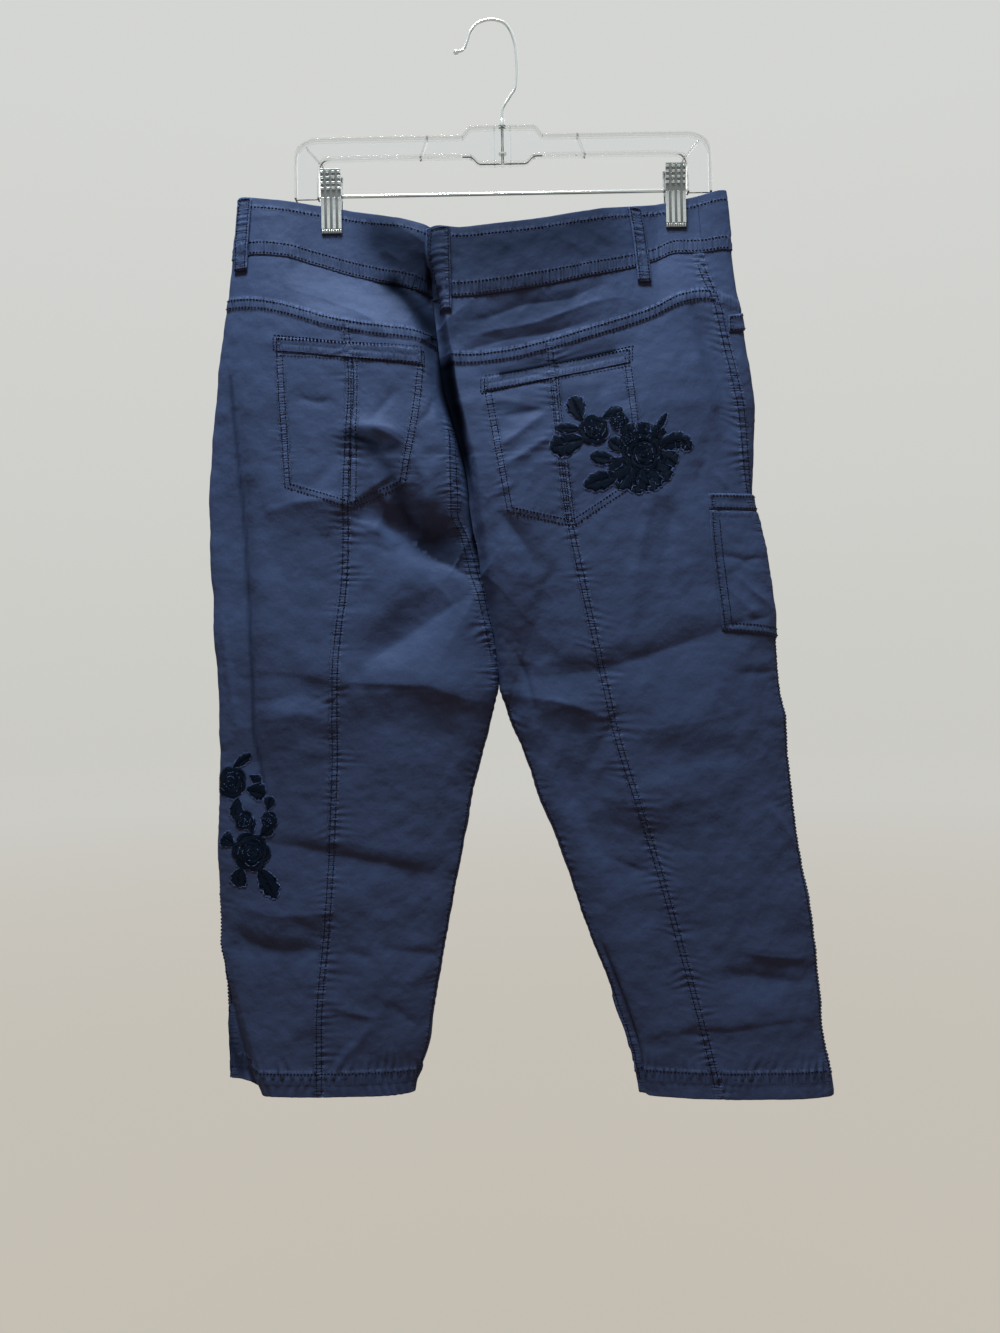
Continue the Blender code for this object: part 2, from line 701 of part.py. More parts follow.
def build_side_pockets():
    def cargo_back(z):
        return column(CARGO_BACK, z)

    def cargo_front(z):
        return outer_edge("right", z) - CARGO_FRONT_REACH

    top, bottom = (CARGO_TOP, CARGO_TOP), (CARGO_DROP_BACK, CARGO_DROP_FRONT)
    angle, z = round_the_edge(cargo_back, cargo_front, top, bottom, CARGO_COLUMNS, CARGO_ROWS)
    patch("cargo_pocket", "right", angle, z, CLOTH, lift=CARGO_LIFT)
    top, bottom = (CARGO_BAND[0], CARGO_BAND[0]), (CARGO_BAND[1], CARGO_BAND[1])
    angle, z = round_the_edge(cargo_back, cargo_front, top, bottom, CARGO_COLUMNS, 1)
    patch("cargo_pocket_band", "right", angle, z, BAND_WALL, lift=CARGO_LIFT)
    bottom = tuple(height - HIP_BAND_HEIGHT for height in HIP_BAND_TOP)
    angle, z = round_the_edge(
        lambda z: np.full(z.shape, HIP_BAND_BACK),
        lambda z: np.full(z.shape, HIP_BAND_FRONT),
        HIP_BAND_TOP,
        bottom,
        HIP_BAND_COLUMNS,
        BAND_ROWS,
    )
    patch("front_pocket_band_right", "right", angle, z, BAND_WALL)


def cylinder(name, kind, radius, length, way, centre, segments):
    bm = bmesh.new()
    bmesh.ops.create_cone(
        bm, cap_ends=True, segments=segments, radius1=radius * MM, radius2=radius * MM, depth=length * MM
    )
    made = finish(name, bm, kind)
    made.rotation_euler = Vector(way).to_track_quat("Z", "Y").to_euler()
    made.location = Vector(centre) * MM
    return made


def build_button():
    x, height = BUTTON_PLACE
    angle = angle_at("left", "front", x, height)
    spot = surface("left", angle, height)
    way = normal("left", angle, height)
    centre = spot + way * (BUTTON_THICKNESS / 2 + SEAM_GAP)
    size = (BUTTON_RADIUS, BUTTON_THICKNESS)
    button = cylinder("waist_button", "button", *size, way, centre, BUTTON_SEGMENTS)
    edge = button.modifiers.new("edge", "BEVEL")
    edge.width = BUTTON_EDGE * MM
    edge.segments = 2


def extruded(name, kind, outline, width, x_middle):
    """A solid from an outline of distances along Y and heights, as wide as given along X."""
    bm = bmesh.new()
    half = width / 2
    ring = [bm.verts.new(Vector((x_middle - half, y, z)) * MM) for y, z in outline]
    end = bm.faces.new(ring)
    moved = bmesh.ops.extrude_face_region(bm, geom=[end])["geom"]
    corners = [part for part in moved if isinstance(part, bmesh.types.BMVert)]
    bmesh.ops.translate(bm, vec=Vector((width, 0, 0)) * MM, verts=corners)
    bmesh.ops.recalc_face_normals(bm, faces=bm.faces)
    return finish(name, bm, kind)


def build_clips():
    for side, place in zip(("left", "right"), CLIP_PLACES):
        for layer, out in (("back", -1), ("front", 1)):
            outline = [(out * y, z) for y, z in JAW_OUTLINE]
            extruded(f"clip_{side}_{layer}_jaw", "clip", outline, CLIP_WIDTH, place)
        build_spring(f"clip_{side}_spring", place)


def build_spring(name, place):
    """The spring's coil round the rod, as one short tube."""
    bm = bmesh.new()
    inner, outer, half = ROD_RADIUS + SEAM_GAP, SPRING_RADIUS, SPRING_WIDTH / 2
    corners = ((inner, -half), (outer, -half), (outer, half), (inner, half))
    ring = [bm.verts.new(Vector((place + x, 0, ROD_HEIGHT + r)) * MM) for r, x in corners]
    edges = [bm.edges.new((a, b)) for a, b in zip(ring, ring[1:] + ring[:1])]
    centre = Vector((place, 0, ROD_HEIGHT)) * MM
    turn = {"axis": (1, 0, 0), "angle": 2 * math.pi, "steps": SPRING_SEGMENTS}
    bmesh.ops.spin(bm, geom=edges, cent=centre, **turn)
    bmesh.ops.remove_doubles(bm, verts=bm.verts, dist=0.01 * MM)
    bmesh.ops.recalc_face_normals(bm, faces=bm.faces)
    finish(name, bm, "clip")


def build_frame():
    """The clear frame: an I-section that follows the frame's upper and lower edges."""
    right = [(HANGER_MIDDLE + a, b, HANGER_MIDDLE + c, d) for a, b, c, d in FRAME_HALF]
    left = [(HANGER_MIDDLE - a, b, HANGER_MIDDLE - c, d) for a, b, c, d in FRAME_HALF[1:]]
    bm = bmesh.new()
    rings = []
    for top_x, top_z, low_x, low_z in left[::-1] + right:
        flange = FRAME_FLANGE / math.hypot(top_x - low_x, top_z - low_z)
        down = (0, flange, flange, 1 - flange, 1 - flange, 1)
        out = (FRAME_HALF_DEPTH, FRAME_HALF_DEPTH, FRAME_WEB, FRAME_WEB, FRAME_HALF_DEPTH, FRAME_HALF_DEPTH)
        section = list(zip(down, out)) + [(share, -y) for share, y in zip(down[::-1], out)]
        ring = []
        for share, y in section:
            x = top_x + (low_x - top_x) * share
            z = top_z + (low_z - top_z) * share
            ring.append(bm.verts.new(Vector((x, y, z)) * MM))
        rings.append(ring)
    for first, second in zip(rings, rings[1:]):
        for i in range(len(first)):
            j = (i + 1) % len(first)
            bm.faces.new((first[i], first[j], second[j], second[i]))
    bm.faces.new(rings[0])
    bm.faces.new(rings[-1])
    bmesh.ops.recalc_face_normals(bm, faces=bm.faces)
    finish("hanger_frame", bm, "clear")


def build_hook():
    across, height = smooth_way(HOOK_WAY, HOOK_STEPS)
    curve = bpy.data.curves.new("hanger_hook", "CURVE")
    curve.dimensions = "3D"
    curve.bevel_depth = HOOK_WIRE * MM
    curve.bevel_resolution = 2
    curve.use_fill_caps = True
    wire = curve.splines.new("POLY")
    wire.points.add(len(across) - 1)
    for point, x, z in zip(wire.points, across, height):
        point.co = (x * MM, 0, z * MM, 1)
    hook = bpy.data.objects.new("hanger_hook", curve)
    curve.materials.append(material("hanger_hook", "wire"))
    bpy.data.collections["capri_pants"].objects.link(hook)
    way = Vector((across[-1] - across[-2], 0, height[-1] - height[-2])).normalized()
    bm = bmesh.new()
    rings = BALL_SEGMENTS * 2 // 3
    bmesh.ops.create_uvsphere(bm, u_segments=BALL_SEGMENTS, v_segments=rings, radius=HOOK_BALL * MM)
    ball = finish("hanger_hook_ball", bm, "wire")
    tip = Vector((across[-1], 0, height[-1]))
    ball.location = (tip + way * (HOOK_BALL + SEAM_GAP)) * MM


def build_hanger():
    build_frame()
    build_hook()
    ends = [HANGER_MIDDLE + out * (FRAME_HALF[-1][2] - SEAM_GAP) for out in (-1, 1)]
    middle = (sum(ends) / 2, 0, ROD_HEIGHT)
    cylinder("hanger_rod", "wire", ROD_RADIUS, ends[1] - ends[0], (1, 0, 0), middle, ROD_SEGMENTS)


def main():
    for old in list(bpy.data.objects):
        bpy.data.objects.remove(old)
    bpy.context.scene.collection.children.link(bpy.data.collections.new("capri_pants"))
    build_panels()
    build_trims()
    build_side_pockets()
    build_button()
    build_clips()
    build_hanger()


main()
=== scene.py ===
import math

import bmesh
import bpy
import numpy as np
from bpy.props import FloatProperty, FloatVectorProperty, PointerProperty
from mathutils import Matrix, Vector


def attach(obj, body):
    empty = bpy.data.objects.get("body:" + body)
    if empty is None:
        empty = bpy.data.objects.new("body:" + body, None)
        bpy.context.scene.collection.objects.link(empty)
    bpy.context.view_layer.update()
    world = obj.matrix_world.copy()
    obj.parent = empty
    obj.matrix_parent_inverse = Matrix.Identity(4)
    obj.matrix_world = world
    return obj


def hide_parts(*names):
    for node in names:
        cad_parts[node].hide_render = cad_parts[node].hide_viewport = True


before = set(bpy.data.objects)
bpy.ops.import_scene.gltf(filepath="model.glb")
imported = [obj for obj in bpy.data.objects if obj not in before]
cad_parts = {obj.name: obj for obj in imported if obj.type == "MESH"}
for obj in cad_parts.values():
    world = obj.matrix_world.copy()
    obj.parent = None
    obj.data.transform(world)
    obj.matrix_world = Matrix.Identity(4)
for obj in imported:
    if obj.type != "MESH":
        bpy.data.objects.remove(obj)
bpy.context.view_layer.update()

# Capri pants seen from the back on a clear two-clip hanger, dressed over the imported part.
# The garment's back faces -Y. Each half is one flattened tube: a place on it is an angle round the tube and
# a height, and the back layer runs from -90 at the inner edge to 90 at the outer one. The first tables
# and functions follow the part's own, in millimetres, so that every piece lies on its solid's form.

bl_info = {
    "name": "Capri Pants on a Clip Hanger",
    "version": (1, 0, 0),
    "blender": (4, 5, 0),
    "location": "View3D > Sidebar > Capri",
    "description": "Builds sewn capri pants, their hanger and a plain stage",
    "category": "Object",
}

MM = 0.001
# The two halves of the garment, with the way from its middle to each one's outer edge, and its two layers
OUT = {"left": -1, "right": 1}
LAYERS = ("back", "front")

# The tube's section: how full its edges are, where it parts into two legs, and how soon folds fade out
# towards an edge. Each half keeps a little more than its own cloth beside the other at the crotch.
CROTCH = -568.0
EDGE_POWER = 0.75
SPLIT_START = -400.0
CROTCH_BLEND = 20.0
CROTCH_ROOM = 1.55
FADE_RATE = 2.5
FADE_POWER = 0.8
FADE_BELOW_CROTCH = 10.0
FADE_ABOVE_CROTCH = 30.0
# The fold at the centre back: height, and how deep and how wide it is on the left half and on the right
CENTRE_FOLD = (
    (-146, 1, 46, 3, 3), (-175, 6, 36, 7, 3), (-205, 12, 24, 10, 3), (-240, 18, 14, 13, 3.2),
    (-273, 21, 11, 15, 3.6), (-310, 20, 10, 14, 4), (-347, 18, 10, 12, 4), (-391, 15, 12, 10, 4),
    (-442, 11, 15, 8, 4), (-498, 7, 14, 5, 4), (-540, 3, 12, 2, 4), (-568, 0, 12, 0, 4),
)
# Height, left edge, right edge, depth of the back layer, depth of the front layer
OUTLINE = (
    (-146, -215, 197, 10, 9), (-170, -218, 200, 14, 12), (-200, -222, 202, 18, 15),
    (-235, -226, 206, 22, 17), (-275, -233, 211, 25, 19), (-310, -237, 215, 26, 20),
    (-345, -242, 218, 26, 20), (-380, -245, 216, 26, 20), (-405, -246, 215, 25, 20),
    (-440, -246, 221, 25, 19), (-490, -245, 229, 24, 18), (-540, -242, 232, 23, 17),
    (-570, -239, 234, 22, 16), (-600, -240, 239, 20, 15), (-650, -242, 244, 18, 14),
    (-700, -243, 249, 17, 13), (-750, -244, 256, 16, 13), (-776, -244, 260, 15, 13),
    (-800, -240, 263, 15, 13), (-850, -237, 266, 15, 13), (-890, -237, 271, 14, 13),
    (-912, -237, 273, 14, 13),
)
# Height, inner edge of the left leg, inner edge of the right leg
INSEAMS = (
    (-568, -3, -3), (-590, -8, 3), (-615, -15, 13), (-640, -22, 23), (-666, -29, 32), (-692, -33, 43),
    (-717, -38, 51), (-743, -44, 58), (-768, -49, 66), (-794, -54, 76), (-819, -59, 85), (-845, -64, 93),
    (-870, -69, 101), (-896, -77, 107), (-912, -81, 110),
)
# Height and place of the centre seam on each layer
CENTRE_SEAM = {
    "back": (
        (-146, -52), (-181, -51), (-240, -49), (-273, -46), (-310, -42), (-347, -33), (-391, -23),
        (-442, -18), (-498, -8), (-540, -4), (-568, -3),
    ),
    "front": ((-146, 40), (-240, 38), (-330, 32), (-420, 20), (-500, 4), (-568, -3)),
}
# Height, place of the long seam that parts the inner and outer back panels
BACK_SEAM = {
    "left": (
        (-146, -128), (-235, -124), (-262, -122), (-306, -118), (-384, -123), (-464, -126), (-546, -135),
        (-632, -138), (-738, -145), (-852, -156), (-912, -157),
    ),
    "right": (
        (-146, 44), (-240, 46), (-280, 48), (-343, 52), (-408, 58), (-465, 68), (-534, 82), (-606, 97),
        (-670, 116), (-729, 133), (-801, 152), (-883, 172), (-912, 178),
    ),
}
# Height, how far the side seam lies in from the outer edge: on the back layer, or minus on the front
SIDE_SEAM = {
    "left": ((-146, -24), (-300, -32), (-400, -34), (-568, -20), (-700, -6), (-820, 0), (-912, 0)),
    "right": (
        (-146, 26), (-206, 26), (-250, 17), (-284, 14), (-336, 9), (-373, 5), (-410, 1), (-440, 0),
        (-912, 0),
    ),
}
# Place across, top edge of the waist, waistband seam, yoke seam
BACK_LINES = {
    "left": (
        (-246, -147, -200, -233), (-215, -147, -200, -234), (-204, -148, -198, -235),
        (-174, -152, -201, -242), (-145, -156, -208, -252), (-128, -159, -213, -256),
        (-97, -167, -222, -262), (-66, -175, -230, -266), (-45, -181, -237, -270),
    ),
    "right": (
        (-52, -182, -239, -286), (-28, -184, -241, -287), (3, -182, -238, -284), (40, -177, -232, -276),
        (77, -171, -225, -266), (112, -165, -218, -256), (132, -161, -211, -249), (155, -157, -202, -238),
        (175, -153, -202, -234), (197, -148, -199, -240), (215, -148, -199, -246),
    ),
}
# Place across, top edge of the waist, waistband seam, the level where the front panels' rows are even
FRONT_LINES = {
    "left": (
        (-246, -147, -200, -233), (-215, -147, -200, -234), (-174, -152, -203, -243),
        (-136, -159, -210, -252), (-60, -172, -224, -266), (40, -183, -236, -278),
    ),
    "right": (
        (36, -183, -236, -278), (100, -171, -223, -262), (155, -157, -208, -248), (197, -148, -199, -240),
        (215, -148, -199, -246),
    ),
}
# Place across, hem line, bottom edge
HEM_LINES = (
    (-245, -872, -892), (-219, -875, -896), (-211, -884, -905), (-75, -886, -907), (105, -889, -912),
    (275, -893, -916),
)

# The folds of each layer: shape, depth outwards, width, and then across and up for each point of its
# line. A ridge or trough is even about its line. A crease stands out on the left of its line's way and
# sinks on the right. A shelf drops what lies on the right of its way, as far as its reach.
SHELF_REACH = 70.0
FOLDS = {
    "back": (
        ("ridge", -6, 22, -232, -300, -225, -360, -220, -470, -216, -560, -208, -680),
        ("ridge", 5, 20, -205, -330, -200, -450, -193, -560, -186, -660),
        ("crease", 1.2, 16, -212, -541, -150, -551, -92, -556, -28, -575),
        ("crease", 1.0, 14, -200, -696, -130, -703, -45, -722),
        ("crease", 1.0, 13, -236, -762, -208, -778, -150, -778),
        ("ridge", -6, 18, -118, -545, -82, -515, -46, -486),
        ("ridge", -8, 24, -96, -418, -62, -432, -30, -452),
        ("ridge", -5, 16, 2, -420, 22, -450, 32, -480, 40, -540, 60, -620),
        ("ridge", 6, 22, 4, -350, 8, -420, 12, -480, 10, -540),
        ("crease", 1.2, 16, 32, -548, 80, -550, 130, -532, 196, -512),
        ("ridge", -5, 22, 48, -580, 66, -640, 96, -700, 112, -745),
        ("crease", 0.8, 14, 124, -613, 180, -618),
        ("ridge", -4, 16, 163, -240, 176, -290, 190, -340, 198, -372),
        ("crease", 1.2, 14, 222, -792, 272, -800), ("crease", 1.2, 12, 132, -862, 200, -860, 264, -858),
        ("shelf", -8, 12, -238, -800, -226, -850, -207, -912),
        ("shelf", -7, 12, 84, -800, 102, -865, 112, -912),
    ),
    "front": (
        ("ridge", -5, 24, -150, -330, -150, -450, -160, -600, -165, -800),
        ("ridge", 5, 26, -90, -360, -100, -480, -110, -620),
        ("ridge", -5, 26, 80, -330, 92, -470, 120, -620, 165, -820),
        ("ridge", 5, 24, 196, -570, 205, -650, 220, -760),
        ("crease", 4, 16, -210, -600, -120, -612, -40, -600),
        ("crease", 4, 16, 40, -622, 120, -612, 210, -590),
        ("crease", 3.5, 14, -215, -760, -140, -770, -70, -758),
        ("crease", 3.5, 14, 110, -780, 180, -772, 240, -762),
    ),
}

# Belt loops: layer, garment side, place at the top, its height, place at the foot, its height
LOOPS = {
    "belt_loop_back_left": ("back", "left", -209.5, -149, -213.5, -211),
    "belt_loop_back_centre": ("back", "right", -42.0, -185, -42.0, -252),
    "belt_loop_back_right": ("back", "right", 117.5, -166, 125, -229),
    "belt_loop_front_left": ("front", "left", -58, -175, -60, -240),
    "belt_loop_front_right": ("front", "right", 118, -170, 122, -232),
}
LOOP_WIDTH = 11.5
LOOP_LIFT = 2.0
LOOP_SEAT = 0.6

# Flat pieces that lie on the cloth: layer, side, and top left, top right, bottom right, bottom left
WELTS = {
    "back_pocket_band_left": ("back", "left", ((-184, -270), (-60, -284), (-60, -297), (-184, -282))),
    "back_pocket_band_right": ("back", "right", ((-12, -308), (113, -284), (112, -297), (-12, -320))),
    "front_pocket_band_left": ("front", "left", ((-104, -238), (-200, -252), (-201, -266), (-104, -252))),
    "fly_flap": ("front", "left", ((2, -240), (35, -240), (24, -392), (10, -372))),
}

# What goes round the right edge: its top and its bottom, each a height on the back and one on the front,
# steps across and down, thickness, lift, finish, and what it rests on
SIDE_PIECES = {
    "cargo_pocket": ((-421.5, -421.5), (-522.0, -542.0), (130, 80), 1.0, 0.4, "twill", "front"),
    "cargo_pocket_band": ((-407.0, -407.0), (-421.0, -421.0), (130, 14), 1.2, 0.4, "trim_twill", "front"),
    "front_pocket_band_right": (
        (-256.0, -238.0), (-271.0, -253.0), (90, 14), 1.0, 0.5, "trim_twill", "waistband_front"
    ),
}
# Where the cargo pocket starts on the back, as height and place, and how far its front end is from the edge
CARGO_BACK = ((-404, 175), (-423, 175), (-521, 184))
CARGO_FRONT_REACH = 118.0
HIP_BAND_ENDS = (196.0, 112.0)

BUTTON_PLACE = (22.0, -207.0)

# Clips and hanger
CLIP_PLACES = (-137.0, 154.0)
CLIP_WIDTH = 17.0
CLIP_PINCH_REACH = 34.0
PINCH_FULL = -175.0
PINCH_FADE = -262.0
PINCH_STRENGTH = 1.25
PINCHED_HALF = 2.6
# One jaw seen from the side: distance out from the middle of the clip, height, round the outline
JAW_OUTLINE = (
    (3.3, -150), (7.0, -127), (9.2, -127), (5.6, -151), (5.2, -154), (5.6, -178), (4.8, -179.5),
    (3.3, -179.5),
)
ROD_HEIGHT = -146.8
ROD_RADIUS = 1.6
SPRING_RADIUS = 2.8
SPRING_WIDTH = 9.0
HANGER_MIDDLE = 8.5
# The frame from its middle to one end: reach and height of its upper edge, of its lower edge
FRAME_HALF = (
    (0, -90.3, 0, -122.3), (26.5, -90.3, 19, -122.3), (35.5, -98.3, 27.5, -115.8), (54, -98.2, 54, -115.8),
    (106, -98.2, 106, -115.8), (158.5, -98.5, 148.5, -116.2), (170.5, -103, 154.5, -121),
    (176.5, -113, 156, -128), (177, -133, 156, -136), (177, -149, 156, -149),
)
FRAME_HALF_DEPTH = 4.5
FRAME_WEB = 1.3
FRAME_FLANGE = 1.8
HOOK_WIRE = 1.5
HOOK_BALL = 2.4
# Place across and height of the wire's middle, from its foot on the frame to its tip
HOOK_WAY = (
    (8.5, -89.9), (9.0, -76), (14.5, -66), (20.3, -56), (21.8, -40), (21.2, -24), (17.6, -9.5),
    (10.3, -0.6), (0.5, 1.6), (-9.2, -0.6), (-16.8, -8.2), (-20.2, -17.5), (-23.6, -24), (-27.4, -25.2),
)

# Heights the row lines start from and how often they are moved towards their tables
FIRST_LEVELS = (-155, -205, -245, -568, -890, -907)
GRID_ROUNDS = 12

# The creases that are finer than the part's folds, by layer: height outwards, reach left of the line's way,
# reach right of it, sharpness, and then across and up for each point of the line. A ridge or a trough by
# its sign, and a straight-sided one where the sharpness is 0.
CREASES = {
    "back": (
        (-5, 2.5, 2.2, 1.4, 78, -780, 90, -815, 100, -845, 108, -872, 113, -912, 115, -925),
        (-5, 2.5, 2.2, 1.4, -244, -826, -237, -848, -229, -868, -221, -886, -213, -905, -206, -926),
        (-12, 44, 30, 0, -170, -196, -130, -209, -104, -220, -84, -232, -66, -250, -52, -268),
        (5, 30, 46, 0, -128, -182, -96, -186, -66, -186, -48, -181, -30, -180),
        (6, 30, 90, 0, -85, -172, -48, -181, 0, -178, 50, -172, 100, -166, 150, -152),
        (-8, 87, 70, 0, -80, -294, -38, -292, 0, -289, 50, -280, 105, -266, 160, -250),
        (-4, 1.8, 2.6, 1.6, -53, -144, -53, -165, -53, -196, -53, -243),
        (-4.6, 18, 50, 1, 15, -558, 48, -557, 89, -551, 131, -539, 181, -522, 208, -512),
        (1.6, 30, 14, 1, 97, -607, 130, -602, 163, -598, 203, -587),
        (-14, 22, 30, 1, -105, -399, -92, -419, -76, -439, -53, -456, -15, -477),
        (3, 26, 9, 0, -105, -413, -84, -412, -64, -433, -46, -420, -26, -447),
        (-8, 24, 60, 1, -130, -554, -108, -539, -82, -523, -57, -506, -29, -490, -9, -473),
        (9, 60, 30, 1, -168, -553, -134, -558, -93, -561, -60, -563, -21, -578, 2, -586),
        (0.9, 12, 4, 1, -209, -546, -176, -551, -143, -554),
        (7, 24, 36, 1, -196, -417, -173, -410, -140, -408, -115, -415),
        (3.2, 9, 10, 0, -124, -433, -103, -434, -83, -445),
        (-2, 18, 18, 2, -127, -584, -86, -593, -32, -611),
        (3, 14, 32, 0, -200, -591, -169, -583, -136, -594),
        (7.5, 14, 36, 1, 14, -573, 38, -577, 64, -582, 90, -596),
        (-1.0, 12, 20, 1, 113, -637, 155, -631, 197, -617), (2, 22, 20, 0, 79, -661, 121, -667, 163, -663),
        (-3.4, 9, 16, 1, -34, -262, -8, -258, 24, -246, 60, -243, 96, -228),
        (2.6, 10, 8, 1, -34, -276, 0, -268, 34, -262, 80, -246, 112, -240),
        (-2.2, 7, 9, 1, -30, -286, 6, -276, 44, -270, 90, -258),
        (-2.4, 7, 12, 1.3, -232, -686, -199, -693, -177, -695, -154, -700, -105, -711, -72, -719, -44,
            -731), (-2.4, 8, 13, 1.3, -242, -765, -229, -768, -216, -778, -189, -784, -152, -783),
        (3, 28, 14, 1, -230, -742, -196, -754, -156, -752, -116, -742),
        (-1.2, 5, 7, 1.5, -140, -784, -124, -788, -108, -792),
        (-1.4, 5, 9, 1.4, -106, -783, -80, -787, -54, -792),
        (-1.2, 6, 8, 1.5, -182, -757, -160, -767, -149, -775),
        (1.4, 5, 5, 1.6, -146, -878, -132, -867, -120, -853, -108, -841),
        (1.4, 6, 3, 1.4, -150, -830, -131, -836, -114, -840, -102, -839),
        (-1.5, 5, 7, 1.4, -102, -829, -89, -839, -72, -854),
        (1.6, 8, 8, 1.8, -87, -820, -74, -806, -59, -795),
        (5, 14, 18, 1, -136, -354, -120, -347, -104, -349, -88, -356, -74, -366),
        (2.4, 6, 6, 1.7, -72, -358, -62, -393, -60, -418, -62, -432),
        (-1.8, 8, 9, 1.7, -170, -226, -140, -242, -90, -252), (-0.9, 3, 3, 1.7, 103, -229, 107, -249),
        (0.7, 3, 3, 1.6, 79, -185, 91, -193, 101, -202), (0.6, 3, 3, 1.6, 54, -193, 67, -199, 80, -209),
        (0.7, 3, 3, 1.6, -98, -195, -85, -203, -75, -211),
        (-1.8, 4, 5, 1.6, -83, -316, -97, -334, -110, -351),
        (2.0, 4, 5, 1.5, -114, -347, -107, -346, -88, -351, -75, -359),
        (-1.4, 3, 4, 1.5, -168, -320, -152, -326, -135, -325),
        (-1.4, 3, 4, 1.5, -68, -348, -57, -337, -51, -324),
        (1.8, 5, 5, 1.5, -108, -383, -100, -401, -87, -421, -69, -451),
        (2.2, 8, 6, 1.6, -51, -373, -55, -401, -61, -428),
        (-1.2, 5, 5, 1.6, -155, -397, -138, -381, -129, -363),
        (-1.4, 4, 5, 1.5, -121, -433, -105, -436, -88, -442),
        (1.4, 4, 3, 1.5, -12, -410, 9, -400, 28, -388), (-1.6, 9, 9, 1.7, -116, -178, -99, -199, -85, -220),
        (1.2, 4, 4, 1.6, -16, -332, 2, -327, 19, -330, 41, -337),
        (-1.4, 3, 5, 1.5, 0, -342, 23, -338, 52, -333),
        (2.0, 5, 4, 1.5, -7, -370, 10, -361, 28, -347, 48, -333),
        (1.8, 4, 4, 1.5, -2, -386, 15, -377, 36, -363, 50, -355),
        (1.0, 4, 2, 1.4, 28, -381, 51, -380, 70, -379), (-1.3, 4, 4, 1.6, 7, -402, 25, -389),
        (-3.4, 7, 24, 1.2, -22, -309, 18, -299, 50, -293, 80, -287, 124, -278),
        (-1.8, 6, 6, 1.7, 145, -416, 152, -438, 157, -466), (-1.1, 4, 4, 1.6, 171, -378, 167, -404),
        (1.0, 4, 3, 1.5, 180, -388, 193, -403), (-2.2, 12, 12, 1.9, 132, -408, 125, -438, 114, -470),
        (-1.3, 3, 4, 1.4, 180, -459, 200, -462, 212, -471), (-1.0, 2.5, 3, 1.4, 203, -463, 219, -462),
        (1.4, 4, 3, 1.5, 195, -474, 210, -489, 228, -505),
        (1.0, 4, 3, 1.5, 187, -484, 202, -500, 217, -514), (-1.0, 3, 3, 1.5, 187, -518, 203, -515),
        (-1.0, 3, 3, 1.5, 205, -513, 224, -512), (-1.4, 4, 6, 1.5, 195, -558, 226, -557),
        (2.4, 12, 4, 1.4, 196, -791, 226, -797, 261, -800),
        (-2.4, 6, 13, 1.7, 178, -809, 219, -815, 256, -820),
        (-1.8, 5, 8, 1.3, 118, -861, 139, -861, 161, -857, 180, -858, 227, -853, 264, -853),
        (-2.4, 3, 4, 1.4, 10, -535, 19, -554, 26, -583, 27, -600),
        (-2.4, 9, 9, 1.7, 33, -570, 63, -670, 66, -680, 102, -736),
        (-1.0, 3, 4, 1.4, 88, -711, 110, -721, 133, -729),
        (1.4, 3, 7, 1.5, 221, -666, 235, -688, 249, -708),
        (-3.0, 7, 6, 1.5, 165, -241, 179, -283, 192, -327, 202, -356),
        (1.8, 6, 7, 1.5, 152, -236, 166, -284, 178, -330, 184, -372),
        (2.6, 9, 7, 1.5, 132, -396, 122, -430, 112, -470, 108, -520),
        (-2.0, 7, 9, 1.6, 146, -402, 142, -440, 134, -482), (-2.6, 6, 6, 1.6, 0, -419, 22, -451, 30, -473),
        (-2.2, 5, 5, 1.5, -223, -290, -218, -345, -215, -388, -212, -469, -208, -540, -210, -582, -200,
            -650), (1.4, 4, 4, 1.6, -236, -484, -232, -533, -228, -565, -222, -609),
    ),
    "front": (
        (-2.2, 7, 10, 1.4, -226, -600, -170, -612, -100, -606, -40, -590),
        (2.0, 10, 5, 1.4, -222, -548, -160, -556, -90, -550, -30, -566),
        (-2.0, 7, 11, 1.4, -232, -704, -160, -716, -64, -704),
        (-1.8, 7, 11, 1.4, -230, -792, -150, -800, -74, -790),
        (1.4, 5, 5, 1.6, -190, -868, -150, -842, -120, -826),
        (-1.8, 6, 8, 1.5, -60, -262, -96, -330, -104, -400),
        (1.6, 6, 6, 1.6, -30, -420, -84, -452, -150, -470),
        (-1.8, 6, 8, 1.5, -16, -500, -80, -512, -150, -504),
        (2.0, 10, 5, 1.4, 30, -560, 96, -548, 160, -540, 214, -520),
        (-2.2, 7, 10, 1.4, 40, -600, 110, -612, 180, -606, 226, -592),
        (-2.0, 7, 11, 1.4, 92, -722, 160, -712, 240, -700),
        (-1.8, 7, 10, 1.4, 110, -806, 180, -798, 254, -788),
        (1.4, 5, 5, 1.6, 140, -876, 176, -852, 206, -838), (1.6, 6, 6, 1.6, 24, -430, 80, -456, 140, -470),
        (-1.6, 6, 7, 1.5, 60, -262, 92, -330, 104, -398), (-1.4, 5, 7, 1.6, 66, -340, 120, -352, 170, -344),
    ),
}
# Crinkles over all the cloth: height, step and seed
CRINKLES = ((1.5, 54, 8), (0.8, 27, 3), (0.42, 11, 4), (0.16, 5, 5))

